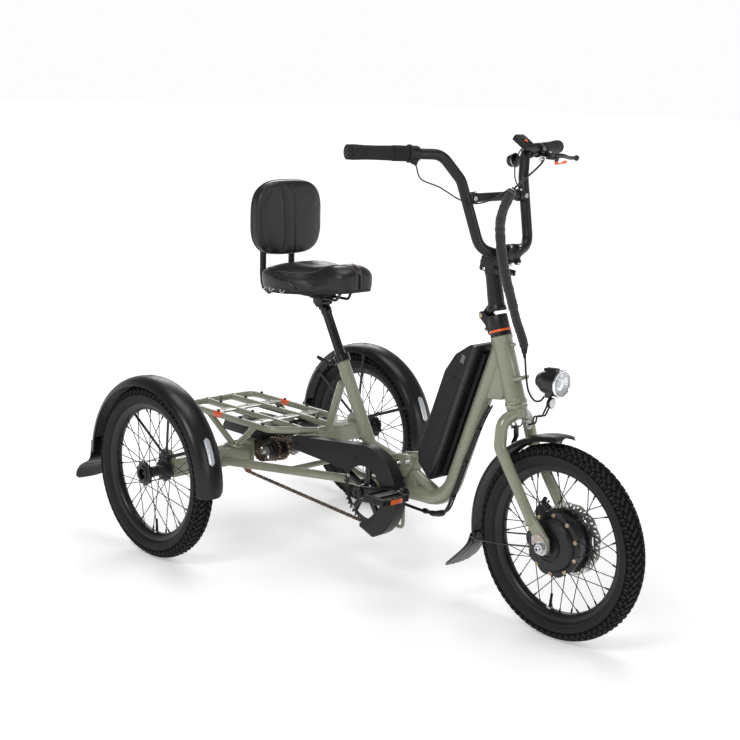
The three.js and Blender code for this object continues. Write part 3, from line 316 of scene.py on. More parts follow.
WHITE_REFLECTOR = material("white_reflector", (0.55, 0.58, 0.61), 0.16, coat=0.8, grain=(700, 0.05, 0.0001),
                           cells=(330, 0.5, 0.0008), metal=0.45)
AMBER_REFLECTOR = material("amber_reflector", (0.62, 0.10, 0.012), 0.18, coat=0.8, cells=(420, 0.5, 0.0008))
CHROME = material("lamp_chrome", (0.85, 0.86, 0.88), 0.09, metal=1.0, grain=(500, 0.05, 0.0001),
                  rough_spread=0.03)
LENS = material("lamp_lens", (0.92, 0.95, 0.98), 0.06, clear=0.92, grain=(300, 0.05, 0.0001),
                rough_spread=0.02, cells=(160, 0.2, 0.0006))
GLASS = material("dark_glass", (0.005, 0.006, 0.008), 0.09, coat=1.0, grain=(300, 0.02, 0.0001),
                 rough_spread=0.03)
GREY = material("grey_plastic", (0.12, 0.125, 0.13), 0.45, grain=(1800, 0.3, 0.0001))
FLOOR = material("studio_floor", (0.83, 0.83, 0.83), 0.6, grain=(120, 0.03, 0.0002), shade=0.01)

floor_tree = FLOOR.node_tree
floor_place = floor_tree.nodes.new("ShaderNodeTexCoord")
floor_length = floor_tree.nodes.new("ShaderNodeVectorMath")
floor_length.operation = "LENGTH"
floor_tree.links.new(floor_place.outputs["Object"], floor_length.inputs[0])
floor_tree.links.new(spread(floor_tree, floor_length.outputs["Value"], 0.36, 0.86, 0.7, 4.5),
                     floor_tree.nodes["Principled BSDF"].inputs["Emission Strength"])
floor_tree.nodes["Principled BSDF"].inputs["Emission Color"].default_value = (1, 1, 1, 1)

floor_mesh = bpy.data.meshes.new("studio_floor")
floor_mesh.from_pydata([(-40, -40, 0), (40, -40, 0), (40, 40, 0), (-40, 40, 0)], [], [(0, 1, 2, 3)])
floor_mesh.materials.append(FLOOR)
floor = bpy.data.objects.new("studio_floor", floor_mesh)
bpy.context.scene.collection.objects.link(floor)


# ---- shapes: each is (points, faces, face uvs or None) -------------------------------------------------
def unit(v):
    return np.asarray(v, float) / np.linalg.norm(v)


def across(direction):
    """Two unit vectors square to a direction."""
    helper = vec(0, 0, 1) if abs(direction[2]) < 0.9 else vec(1, 0, 0)
    first = unit(np.cross(helper, direction))
    return first, np.cross(direction, first)


def merge(*parts):
    points, faces, uvs, start = [], [], [], 0
    flat = []
    for part in parts:
        flat.extend(part if isinstance(part, list) else [part])
    for part in flat:
        points.append(part[0])
        faces.extend([[i + start for i in face] for face in part[1]])
        uvs.extend(part[2] if part[2] else [None] * len(part[1]))
        start += len(part[0])
    return np.vstack(points), faces, uvs


def loft(rings, closed=False, caps=True, uv=None):
    """Skins rings of equal length; closed joins the last ring to the first."""
    rings = [np.asarray(ring, float) for ring in rings]
    size, count = len(rings[0]), len(rings)
    faces, uvs = [], []
    for i in range(count if closed else count - 1):
        for k in range(size):
            a, b = i * size, ((i + 1) % count) * size
            faces.append([a + k, a + (k + 1) % size, b + (k + 1) % size, b + k])
            if uv:
                along, around = uv
                uvs.append([(along[i], around * k), (along[i], around * (k + 1)),
                            (along[i + 1], around * (k + 1)), (along[i + 1], around * k)])
    if caps and not closed:
        faces.append(list(range(size))[::-1])
        faces.append([(count - 1) * size + k for k in range(size)])
        uvs += [None, None] if uv else []
    return np.vstack(rings), faces, uvs or None


def smooth_path(points, count, closed=False):
    """A centripetal curve through points, cut into equal steps."""
    pts = np.asarray(points, float)
    if closed:
        pts = np.vstack([pts[-1], pts, pts[0], pts[1]])
    else:
        pts = np.vstack([2 * pts[0] - pts[1], pts, 2 * pts[-1] - pts[-2]])
    fine = []
    for i in range(1, len(pts) - 2):
        p = pts[i - 1:i + 3]
        t = np.concatenate([[0], np.cumsum(np.sqrt(np.linalg.norm(np.diff(p, axis=0), axis=1)) + 1e-9)])
        for s in np.linspace(t[1], t[2], 24, endpoint=False):
            a = [(t[k + 1] - s) / (t[k + 1] - t[k]) * p[k] + (s - t[k]) / (t[k + 1] - t[k]) * p[k + 1]
                 for k in range(3)]
            b = [(t[k + 2] - s) / (t[k + 2] - t[k]) * a[k] + (s - t[k]) / (t[k + 2] - t[k]) * a[k + 1]
                 for k in range(2)]
            fine.append((t[2] - s) / (t[2] - t[1]) * b[0] + (s - t[1]) / (t[2] - t[1]) * b[1])
    fine.append(pts[-2])
    return even(fine, count)


def even(points, count):
    pts = np.asarray(points, float)
    run = np.concatenate([[0], np.cumsum(np.linalg.norm(np.diff(pts, axis=0), axis=1))])
    return np.array([[np.interp(s, run, pts[:, k]) for k in range(3)]
                     for s in np.linspace(0, run[-1], count)])


def bent(corners, radius, steps=8):
    """Straight stretches with an arc-like bend at each inner corner."""
    pts = [vec(*corner) for corner in corners]
    path = [pts[0]]
    for before, here, after in zip(pts, pts[1:], pts[2:]):
        a, b = before - here, after - here
        half = math.acos(np.clip(unit(a) @ unit(b), -1, 1)) / 2
        reach = min(radius / math.tan(half), 0.48 * np.linalg.norm(a), 0.48 * np.linalg.norm(b))
        start, end = here + unit(a) * reach, here + unit(b) * reach
        for t in np.linspace(0, 1, steps + 1):
            path.append((1 - t) ** 2 * start + 2 * t * (1 - t) * here + t * t * end)
    return np.array(path + [pts[-1]])


def tube(path, radius, sides=20, closed=False, squeeze=None, caps=True, flute=None):
    """A round bar along a path. radius may be one number or one per point; squeeze(t) gives
    (width, height) factors; flute(k) scales each side."""
    path = np.asarray(path, float)
    count = len(path)
    radii = np.full(count, radius, float) if np.isscalar(radius) else np.asarray(radius, float)
    tangents = np.gradient(path, axis=0) if not closed else np.roll(path, -1, 0) - np.roll(path, 1, 0)
    side, _ = across(unit(tangents[0]))
    rings = []
    for i in range(count):
        tangent = unit(tangents[i])
        side = unit(side - tangent * (side @ tangent))
        other = np.cross(tangent, side)
        wide, high = squeeze(i / (count - 1)) if squeeze else (1, 1)
        turns = 2 * np.pi * np.arange(sides) / sides
        scale = radii[i] * (np.array([flute(k) for k in range(sides)]) if flute else 1)
        rings.append(path[i] + np.outer(np.cos(turns) * wide * scale,
                                        side) + np.outer(np.sin(turns) * high * scale, other))
    run = np.concatenate([[0], np.cumsum(np.linalg.norm(np.diff(path, axis=0), axis=1)), [0]])
    return loft(rings, closed, caps, (run, 2 * np.pi * radii.mean() / sides))


def rod(start, end, radius, end_radius=None, sides=24, chamfer=0.0):
    start, end = vec(*start), vec(*end)
    last = radius if end_radius is None else end_radius
    if not chamfer:
        return tube([start, end], [radius, last], sides)
    step = unit(end - start) * chamfer
    return tube([start, start + step, end - step, end], [radius - chamfer, radius, last, last - chamfer],
                sides)


def turn(profile, centre, axis=(0, 1, 0), sides=64, lobes=None):
    """A closed profile of (radius, offset) turned about an axis; lobes(angle, r) may change the radius."""
    axis = unit(axis)
    first, second = across(axis)
    rings = []
    for k in range(sides):
        angle = 2 * math.pi * k / sides
        out = first * math.cos(angle) + second * math.sin(angle)
        rings.append([np.asarray(centre, float) + out * (lobes(angle, r) if lobes else r) + axis * o
                      for r, o in profile])
    points, faces, _ = loft(rings, closed=True)
    return points, faces, None


def turn_solid(profile, centre, axis=(0, 1, 0), sides=64, lobes=None):
    """As turn(), for a profile that starts and ends on the axis."""
    axis = unit(axis)
    first, second = across(axis)
    centre = np.asarray(centre, float)
    inner = profile[1:-1]
    points = [centre + axis * profile[0][1]]
    for k in range(sides):
        angle = 2 * math.pi * k / sides
        out = first * math.cos(angle) + second * math.sin(angle)
        points += [centre + out * (lobes(angle, r) if lobes else r) + axis * o for r, o in inner]
    points.append(centre + axis * profile[-1][1])
    size, last = len(inner), len(points) - 1
    faces = []
    for k in range(sides):
        a, b = 1 + k * size, 1 + ((k + 1) % sides) * size
        faces.append([0, b, a])
        faces.extend([[a + i, b + i, b + i + 1, a + i + 1] for i in range(size - 1)])
        faces.append([a + size - 1, b + size - 1, last])
    return np.array(points), faces, None


def inside(point, outline):
    x, z = point
    hit = False
    for (x0, z0), (x1, z1) in zip(outline, np.roll(outline, -1, axis=0)):
        if (z0 > z) != (z1 > z) and x < (x1 - x0) * (z - z0) / (z1 - z0) + x0:
            hit = not hit
    return hit


def plate(outline, low, high, holes=(), place=None):
    """A flat plate cut from an outline in XZ between two Y values; place(x, y, z) may move its points."""
    loops = [np.asarray(loop, float) for loop in (outline, *holes)]
    flat = np.vstack(loops)
    edges, start = [], 0
    for loop in loops:
        edges += [(start + k, start + (k + 1) % len(loop)) for k in range(len(loop))]
        start += len(loop)
    found = delaunay_2d_cdt([Vector(p) for p in flat], edges, [], 0, 1e-5)
    flat = np.array([tuple(p) for p in found[0]])
    count = len(flat)
    points = np.vstack([np.column_stack([flat[:, 0], np.full(count, y), flat[:, 1]]) for y in (low, high)])
    faces = []
    for a, b, c in found[2]:
        middle = (flat[a] + flat[b] + flat[c]) / 3
        if inside(middle, loops[0]) and not any(inside(middle, loop) for loop in loops[1:]):
            faces += [[a, b, c], [count + c, count + b, count + a]]
    for a, b in edges:
        faces.append([a, b, count + b, count + a])
    if place:
        points = np.array([place(*p) for p in points])
    return points, faces, None


def block(centre, size, tilt=0.0):
    """A box with its size along the axes, turned about Y."""
    c, s = math.cos(tilt), math.sin(tilt)
    points = []
    for x in (-0.5, 0.5):
        for y in (-0.5, 0.5):
            for z in (-0.5, 0.5):
                p = np.array([x, y, z]) * size
                points.append(np.asarray(centre) + vec(p[0] * c + p[2] * s, p[1], p[2] * c - p[0] * s))
    return np.array(points), [[0, 1, 3, 2], [4, 6, 7, 5], [0, 4, 5, 1], [2, 3, 7, 6], [0, 2, 6, 4],
                              [1, 5, 7, 3]], None


def soften(part, width, segments=2, angle=40):
    """Rounds the sharp edges of a shape."""
    bm = bmesh.new()
    points = [bm.verts.new(p) for p in part[0]]
    for face in part[1]:
        bm.faces.new([points[i] for i in face])
    bmesh.ops.recalc_face_normals(bm, faces=bm.faces)
    bmesh.ops.dissolve_limit(bm, angle_limit=0.01, verts=bm.verts, edges=bm.edges)
    limit = math.radians(angle)
    sharp = [e for e in bm.edges if len(e.link_faces) == 2 and e.calc_face_angle(0) > limit]
    bmesh.ops.bevel(bm, geom=sharp, offset=width, segments=segments, affect="EDGES", profile=0.6,
                    clamp_overlap=True)
    bm.verts.index_update()
    result = (np.array([v.co[:] for v in bm.verts]), [[v.index for v in f.verts] for f in bm.faces], None)
    bm.free()
    return result


def piece(name, body, look, *parts, slot=None, replaces=(), angle=34):
    """Joins shapes into one object that rides on a body; given (a, b, start, end) in place of a body, it is
    left unparented in the row frame.
    """
    points, faces, uvs = merge(*parts)
    mesh = bpy.data.meshes.new(name)
    mesh.from_pydata([tuple(p) for p in row(points)], [], faces)
    if any(uvs):
        layer = mesh.uv_layers.new(name="lay")
        corner = 0
        for face, uv in zip(faces, uvs):
            for k in range(len(face)):
                layer.data[corner + k].uv = uv[k] if uv else (0, 0)
            corner += len(face)
    mesh.validate()
    bm = bmesh.new()
    bm.from_mesh(mesh)
    bmesh.ops.recalc_face_normals(bm, faces=bm.faces)
    bm.to_mesh(mesh)
    bm.free()
    mesh.shade_smooth()
    mesh.set_sharp_from_angle(angle=math.radians(angle))
    mesh.materials.append(look)
    made = bpy.data.objects.new(name, mesh)
    bpy.context.scene.collection.objects.link(made)
    if isinstance(body, str):
        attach(made, body)
    else:
        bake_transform(made)
    if replaces:
        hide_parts(*replaces)
    return made


def hex_bolt(at, axis, radius, height, sides=6):
    """A bolt head with a hollow centre."""
    at, axis = vec(*at), unit(axis)
    head_part = soften(rod(at, at + axis * height, radius, sides=sides), radius * 0.12)
    return [head_part, rod(at + axis * height * 0.9, at + axis * (height + radius * 0.25), radius * 0.55,
                           sides=16)]


def cap_bolt(at, axis, radius, height):
    """A round head with a hexagon socket sunk in it."""
    at, axis = vec(*at), unit(axis)
    r = radius
    return turn_solid([(0, 0), (r, 0), (r, height * 0.85), (r * 0.86, height), (r * 0.5, height),
                       (r * 0.45, height * 0.4), (0, height * 0.4)], at, axis, 24)


def weld(run, radius, trunk, trunk_radius, bead=2.2):
    """A rippled weld bead where a round bar meets a thicker one. Each is (point on its line, direction)."""
    point, direction = vec(*run[0]), unit(run[1])
    base, line = vec(*trunk[0]), unit(trunk[1])
    first, second = across(direction)
    loop = []
    for k in range(48):
        turn_angle = 2 * math.pi * k / 48
        start = point + (first * math.cos(turn_angle) + second * math.sin(turn_angle)) * radius
        offset = (start - base) - line * ((start - base) @ line)
        step = direction - line * (direction @ line)
        a, b, c = step @ step, 2 * offset @ step, offset @ offset - trunk_radius ** 2
        root = b * b - 4 * a * c
        t = (-b - math.sqrt(max(root, 0))) / (2 * a)
        loop.append(start + direction * t)
    radii = [bead * (1 + 0.12 * math.sin(k * 2.6)) for k in range(48)]
    return tube(loop, radii, 8, closed=True)


def circle(cx, cz, radius, steps=24, start=0.0, end=2 * math.pi):
    """Points round a circle or an arc in XZ."""
    full = abs(end - start - 2 * math.pi) < 1e-6
    angles = np.linspace(start, end, steps, endpoint=not full)
    return [(cx + radius * math.cos(a), cz + radius * math.sin(a)) for a in angles]


# ---- wheels --------------------------------------------------------------------------------------------
CARCASS, SIDE_R, HALF_TYRE, RIM_R = 236.4, 211.0, 28.6, 186.0
PITCHES = 76 if FINE else 40


def carcass(turn_angle, lift=0.0):
    """Radius and offset of the tyre's skin, from 0 at the crown to 90 degrees at its widest and beyond."""
    c, s = math.cos(turn_angle), math.sin(turn_angle)
    radius = SIDE_R + (CARCASS - SIDE_R + lift) * math.copysign(abs(c) ** 0.82, c)
    return radius, (HALF_TYRE + lift * 0.5) * math.copysign(abs(s) ** 0.86, s)


def on_tyre(centre, around, t, lift=0.0):
    """A point on the tyre's skin, around the wheel and t degrees across the tread."""
    radius, offset = carcass(math.radians(t), lift)
    return centre + vec(radius * math.sin(around), offset, radius * math.cos(around))


def tyre_parts(centre):
    """The carcass with its side ridges, and the tread blocks round it."""
    profile = [(RIM_R + 1, -12)]
    for t in np.linspace(-148, 148, 60):
        radius, offset = carcass(math.radians(t))
        if radius < RIM_R + 1.5:
            continue
        ridge = 0.9 if abs(abs(t) - 103) < 2.6 or abs(abs(t) - 122) < 2.6 else 0
        profile.append((radius, offset + math.copysign(ridge, t)))
    profile += [(RIM_R + 1, 12), (205, 22), (230, 16), (232, 0), (230, -16), (205, -22)]
    parts = [turn(profile, centre, sides=144)]
    step = 2 * math.pi / PITCHES
    blocks = []
    for side in (-1, 1):
        blocks += [
            ([(0.04, 2), (0.62, 9), (0.86, 21), (0.30, 15)], 2.6, side, 0.0),
            ([(0.10, 18), (0.34, 18), (0.92, 27), (0.88, 37), (0.52, 37)], 2.5, side, 0.25),
            ([(0.08, 41), (0.50, 39), (0.62, 50), (0.22, 53)], 2.3, side, 0.15),
            ([(0.14, 57), (0.52, 54), (0.50, 68), (0.42, 80), (0.14, 80)], 2.0, side, 0.5),
            ([(0.64, 57), (0.90, 58), (0.82, 72), (0.66, 72)], 1.5, side, 0.5)]
    for k in range(PITCHES):
        for corners, height, side, shift in blocks:
            rings = [[on_tyre(centre, (k + shift + a + (0.5 if side > 0 else 0)) * step, side * t, lift)
                      for a, t in scaled(corners, size)]
                      for lift, size in ((-1.5, 1.0), (height * 0.8, 0.97), (height, 0.86))]
            parts.append(loft(rings))
    return parts


def scaled(corners, size):
    """Corners drawn in towards their middle."""
    middle = np.mean(corners, axis=0)
    return [tuple(middle + (np.array(corner) - middle) * size) for corner in corners]


def rim_parts(centre):
    """The rim, mirrored from one side's profile."""
    lip = [(171, 0), (172, -7), (176, -12), (182, -15.5), (190, -17.6), (191.5, -16.4), (190, -14.6),
           (184, -13), (181, -8), (180, 0)]
    return [turn(lip + [(r, -o) for r, o in lip[-2:0:-1]], centre, sides=144)]


def wheel_spokes(name, body, centre, flange, offset, lead, count=36):
    """Crossed spokes from a hub flange to the rim, and their nipples."""
    bars, nipples = [], []
    for k in range(count):
        angle = 2 * math.pi * (k + 0.5) / count
        side = -1 if k % 2 else 1
        reach = angle + (lead if (k // 2) % 2 else -lead)
        shift = 1.6 if (k // 2) % 2 else -1.6
        hub_end = centre + vec(flange * math.sin(reach), side * (offset + shift), flange * math.cos(reach))
        rim_end = centre + vec(173 * math.sin(angle), side * 3.5, 173 * math.cos(angle))
        way = unit(rim_end - hub_end)
        bars += [rod(hub_end - way * 2, rim_end, 1.15, sides=8),
                 rod(hub_end - Y * 2.2, hub_end + Y * 2.2, 1.9, sides=8)]
        nipples.append(rod(rim_end - way * 12, rim_end + way, 2.1, 2.6, sides=8))
    piece(f"{name}_spokes", body, SPOKE, bars)
    piece(f"{name}_nipples", body, DARK_STEEL, nipples, slot="wheel_black")


def valve(name, body, centre, angle):
    """The valve at an angle round the rim, and its nut."""
    out = vec(math.sin(angle), 0, math.cos(angle))
    piece(f"{name}_valve", body, RUBBER, rod(centre + out * 172, centre + out * 150, 4.2, 3.6, sides=16),
          rod(centre + out * 150, centre + out * 134, 3.4, 3.4, sides=12, chamfer=0.6))
    piece(f"{name}_valve_nut", body, STEEL, turn([(3.6, 0), (8, 0), (8, 3), (5, 4.5), (3.6, 4.5)],
          centre + out * 171, -out, 24))


def painted_groove_shade(centre):
    """Painted shade: a dark band under the tread blocks that darkens the bottom of the grooves."""
    outer = [carcass(math.radians(t), 0.35) for t in np.linspace(-86, 86, 44)]
    inner = [carcass(math.radians(t), -0.8) for t in np.linspace(86, -86, 24)]
    return turn(outer + inner, centre, sides=144)


# The dark groove floor is painted shade.
piece("painted_groove_shade_front", "front_wheel", GROOVE_SHADE, painted_groove_shade(AXLE))
piece("tread_front", "front_wheel", TYRE, tyre_parts(AXLE), replaces=["front_tyre"])
piece("rim_front", "front_wheel", HUB_BLACK, rim_parts(AXLE), replaces=["front_rim"])
wheel_spokes("front", "front_wheel", AXLE, 78.5, 22, 0.42)
valve("front", "front_wheel", AXLE, math.radians(186))

for SIDE, LABEL in ((-1, "right"), (1, "left")):
    HUB = vec(REAR[0], SIDE * TRACK, REAR[2])
    WHEEL = f"{LABEL}_wheel"
    # The dark groove floor is painted shade.
    piece(f"painted_groove_shade_{LABEL}", WHEEL, GROOVE_SHADE, painted_groove_shade(HUB))
    piece(f"tread_{LABEL}", WHEEL, TYRE, tyre_parts(HUB), replaces=[f"rear_tyre_{LABEL}"])
    piece(f"rim_{LABEL}", WHEEL, HUB_BLACK, rim_parts(HUB))
    wheel_spokes(LABEL, WHEEL, HUB, 27.5, 33, 1.12)
    valve(LABEL, WHEEL, HUB, math.radians(177))
    scallop = lambda angle, r: r + (1.6 * math.cos(9 * angle) if r > 28 else 0)
    hub_shell = turn([(14.2, 42.5), (17, 44.5), (21, 44), (22, 40), (24, 38.5), (31.5, 38), (32.3, 35),
                      (31.5, 31),
                      (22, 29), (16.5, 24), (14.5, 8), (14.5, -14), (17, -22), (24, -27), (31.5, -28.5),
                      (32.3, -31), (31.5, -34), (20, -36), (13, -41), (9.2, -45), (9.2, 22), (14.2, 24)],
                     HUB, Y * SIDE, 108, scallop)
    piece(f"hub_{LABEL}", WHEEL, HUB_BLACK, hub_shell, replaces=[f"rear_wheel_{LABEL}"])
    inner_end = -10 if SIDE > 0 else -82
    piece(f"half_shaft_{LABEL}", WHEEL, STEEL,
          rod(vec(REAR[0], inner_end, REAR[2]), vec(REAR[0], SIDE * (TRACK + 26), REAR[2]), 8.5, sides=32,
              chamfer=1))
    piece(f"hub_nut_{LABEL}", WHEEL, DARK_STEEL,
          soften(rod(HUB + Y * SIDE * 25, HUB + Y * SIDE * 33, 12, sides=6), 1),
          rod(HUB + Y * SIDE * 26, HUB + Y * SIDE * 37, 6, sides=24, chamfer=1))


# ---- hub motor, rotor and axle -------------------------------------------------------------------------
def gear_lobes(count, depth, above):
    """A change of radius that makes a cover's rim scalloped."""
    return lambda angle, r: r + (depth * math.cos(count * angle) if r > above else 0)


cover = [(0, -45.5), (14, -45.5), (16, -47.5), (20, -47.5), (21, -44), (27, -43), (28, -45), (33, -45),
         (34, -41.5),
         (38, -41), (39, -42.5), (60, -40), (62, -38), (66, -33), (67, -29), (77.5, -28), (78, -21),
         (70, -20), (0, -20)]
piece("motor_cover", "front_wheel", HUB_BLACK,
      turn_solid(cover, AXLE, sides=160, lobes=gear_lobes(10, 2.6, 74)), replaces=["hub_motor"])
piece("motor_drum", "front_wheel", DRUM,
      turn_solid([(0, -20), (69.5, -20), (70, -18), (70, 17), (0, 17)], AXLE, sides=96))
back_cover = [(0, 17), (77, 18), (79, 20), (79, 26), (74, 28), (68, 34), (50, 38), (49, 40), (30, 41),
              (28, 42.8), (0, 42.8)]
piece("motor_back_cover", "front_wheel", HUB_BLACK, turn_solid(back_cover, AXLE, sides=180,
      lobes=gear_lobes(18, 1.5, 76)))
bolts, washers = [], []
for k in range(10):
    angle = 2 * math.pi * k / 10
    seat = AXLE + vec(71.5 * math.sin(angle), -28.5, 71.5 * math.cos(angle))
    bolts.append(cap_bolt(seat, -Y, 4.2, 3.6))
    washers.append(rod(seat + Y, seat - Y * 0.6, 5.4, sides=20))
piece("motor_bolts", "front_wheel", BRASS, bolts, washers)


def rotor_outline():
    """The wavy rim of the brake disc, and its slots and windows."""
    angles = np.linspace(0, 2 * math.pi, 168, endpoint=False)
    outer = [90 - 3.2 * (0.5 + 0.5 * math.cos(12 * a)) for a in angles]
    ring = [(r * math.sin(a), r * math.cos(a)) for r, a in zip(outer, angles)]
    holes = []
    for k in range(48):
        a = 2 * math.pi * k / 48
        low, high = (79, 86) if k % 2 else (74, 82)
        corners = [(low, a), (low, a + 0.05), (high, a + 0.05 + 0.045), (high, a + 0.045)]
        holes.append([(r * math.sin(b), r * math.cos(b)) for r, b in corners])
    for k in range(6):
        a = 2 * math.pi * k / 6
        inner = [(30, a + 0.12), (30, a + 0.82), (66, a + 0.92), (69, a + 0.6), (68, a + 0.22)]
        holes.append([(r * math.sin(b), r * math.cos(b)) for r, b in inner])
    return ring, holes


ring, slots_cut = rotor_outline()
piece("rotor_disc", "front_wheel", ROTOR_STEEL,
      plate([(x + AXLE[0], z + AXLE[2]) for x, z in ring], 43.4, 45.6,
            [[(x + AXLE[0], z + AXLE[2]) for x, z in hole] for hole in slots_cut]),
            replaces=["brake_rotor"])
piece("rotor_bolts", "front_wheel", DARK_STEEL,
      [cap_bolt(AXLE + vec(22 * math.sin(k * math.pi / 3), 45.4, 22 * math.cos(k * math.pi / 3)), Y, 4, 2)
       for k in range(6)])

axle_parts = [rod(AXLE - Y * 86, AXLE + Y * 86, 6.8, sides=32, chamfer=1.2)]
for side in (-1, 1):
    axle_parts += [soften(rod(AXLE + Y * side * 69, AXLE + Y * side * 79, 13.5, sides=6), 1.0),
                   turn([(7, 0), (17, 0), (17.5, 1), (17, 2.4), (7, 2.4)], AXLE + Y * side * 67.4, Y * side,
                        40)]
piece("axle_with_nuts", "steerer", STEEL, axle_parts, replaces=["front_axle"])
# Painted shade: a dark disc at each end of the axle stands for the shade inside its hollow end.
piece("axle_end_hollow_shade", "steerer", DARK_STEEL,
      [rod(AXLE + Y * s * 83, AXLE + Y * s * 86.3, 3.6, sides=20) for s in (-1, 1)])


# ---- fork ----------------------------------------------------------------------------------------------
FORK_Y = 60


def blade_squeeze(t):
    """The fork blades flatten towards their ends."""
    return (1.0, 1.0) if t < 0.75 else (1 - 0.12 * (t - 0.75), 1 + 0.4 * (t - 0.75))


fork_parts = []
for side in (-1, 1):
    blade = bent([(-145, side * 8, 530), (-157, side * 46, 512), (-149, side * FORK_Y, 452),
                  (-36, side * FORK_Y, 288)], 38, 12)
    blade = even(blade, 60)
    fork_parts.append(tube(blade, np.interp(np.linspace(0, 1, 60), [0, 0.3, 1], [15.5, 15, 12.5]), 32,
                           squeeze=blade_squeeze))
    drop_out = [(-52, 298), (-38, 310), (-22, 301), (16, 262), (19, 240), (14, 226), (0, 221), (-13, 226),
                (-20, 240), (-34, 268)]
    fork_parts.append(soften(plate(drop_out, side * 62.5 - 4.2, side * 62.5 + 4.2,
                                   [circle(AXLE[0], AXLE[2], 7.4, 24)]), 1.2))
    fork_parts.append(tube([(-60, side * FORK_Y, 322), (-40, side * (FORK_Y + 0.6), 294),
                            (-26, side * 62, 276)],
                           [12.9, 12.6, 7.5], 32, squeeze=lambda t: (1 - 0.42 * t, 1 + 0.42 * t)))
fork_parts += [turn_solid([(0, -36), (20, -36), (23, -33), (24, -12), (26.5, -9), (26.5, -1), (0, -1)],
                          head(0), HEAD_UP, 48),
               weld(((-150, 30, 521), (0.3, 1, 0.4)), 15, (head(-20), HEAD_UP), 23.5, 2.0),
               weld(((-150, -30, 521), (0.3, -1, 0.4)), 15, (head(-20), HEAD_UP), 23.5, 2.0)]
piece("fork_body", "steerer", SAGE, fork_parts, replaces=["fork"])
piece("steerer_tube", "steerer", STEEL, rod(head(-8), head(176), 14.2, sides=40, chamfer=1))
for side, label in ((-1, "right"), (1, "left")):
    y = side * 67.2
    outline = [(-31, 262), (-10, 274), (7, 263), (17, 248), (17, 232), (6, 222), (-8, 223), (-17, 232),
               (-30, 250)]
    low, high = sorted((y, y + side * 2.2))
    piece(f"torque_plate_{label}", "steerer", TORQUE,
          soften(plate(outline, low, high, [circle(AXLE[0], AXLE[2], 7.4, 20)]), 0.5))
    piece(f"torque_rivets_{label}", "steerer", STEEL, [cap_bolt((x, y + side * 2, z), Y * side, 3.3, 1.8)
          for x, z in ((-24, 259), (-7, 266), (-24, 246))])


# ---- front fender --------------------------------------------------------------------------------------
FENDER_RADIUS = 262


def fender_sheet(centre, radius, half, start, end, steps, droop, flare=None, crown=0.0, sides=17):
    """A rounded sheet that follows a wheel, from one angle to another, 0 forward and 90 up."""
    rings = []
    for i, a in enumerate(np.linspace(math.radians(start), math.radians(end), steps)):
        t = i / (steps - 1)
        width = half * (flare(t) if flare else 1)
        out = vec(math.cos(a), 0, math.sin(a))
        ring = []
        for layer in (0, 1):
            span = np.linspace(-1, 1, sides) if layer == 0 else np.linspace(1, -1, sides)
            for s in span:
                sag = droop * (1 - math.sqrt(max(0, 1 - abs(s) ** 2.6))) - crown * (1 - s * s)
                grow = 1 - 2.2 / width * layer
                ring.append(centre + out * (radius - sag - 2.2 * layer) + Y * s * width * grow)
        rings.append(ring)
    return loft(rings)


def rounded_end(t, tail=0.05):
    """Width factor that rounds the front tip of a fender."""
    return 0.80 + 0.20 * math.sqrt(max(0, 1 - (1 - min(1, t / tail)) ** 2))


def flap(centre_line, half, thick=2.4, ribs=0):
    """A rubber flap along a centre line, with its half-width at each point and raised ribs along it."""
    rings = []
    line = np.array(centre_line, float)
    tangents = np.gradient(line, axis=0)
    spans = np.linspace(-1, 1, 25)
    for p, tangent, width in zip(line, tangents, half):
        normal = unit(np.cross(tangent, Y))
        top = [p + normal * (thick / 2 + 3 * (1 - s * s)
                             + (0.9 if ribs and math.cos(s * math.pi * ribs) > 0.3 else 0)) + Y * s * width
               for s in spans]
        bottom = [p + normal * (-thick / 2 + 3 * (1 - s * s)) + Y * s * width for s in spans[::-1]]
        rings.append(top + bottom)
    return loft(rings)


piece("fender_front", "steerer", FENDER,
      fender_sheet(AXLE, FENDER_RADIUS, 34, 88, 194, 64, 13, lambda t: rounded_end(t) * (1 + 0.05 * t)),
      replaces=["front_fender"])
LOW = AXLE + vec(FENDER_RADIUS * math.cos(math.radians(191)), 0,
                 FENDER_RADIUS * math.sin(math.radians(191)))
piece("mudflap_front", "steerer", FENDER,
      flap(smooth_path([LOW + vec(3, 0, 14), LOW + vec(-6, 0, -16), LOW + vec(-34, 0, -52), (-324, 0, 104)],
                       14),
           np.interp(np.linspace(0, 1, 14), [0, 0.25, 0.85, 1], [33, 36, 54, 46]), ribs=5))
stay = []
for side in (-1, 1):
    stay.append(tube(smooth_path([(-252, side * 32, 197), (-249, side * 38, 196), (-130, side * 56, 214),
                                  (-30, side * 69.5, 236), (-16, side * 70.5, 238)], 30), 2.1, 12))
    stay.append(soften(plate(circle(-12, 239, 10, 20), side * 70.6 - 1, side * 70.6 + 1), 0.4))
piece("fender_wire_stays", "steerer", GLOSS, stay)
piece("fender_stay_strut", "steerer", SATIN, tube([(-152, 0, 496), (-150, 0, 470), (-158, 0, 452)], 3, 16,
      squeeze=lambda t: (3.2, 0.6)))
stay_angle = math.radians(126)
stay_out = vec(math.cos(stay_angle), 0, math.sin(stay_angle))
piece("fender_stay_bolts", "steerer", STEEL, cap_bolt(AXLE + stay_out * FENDER_RADIUS, stay_out, 5, 2.6))


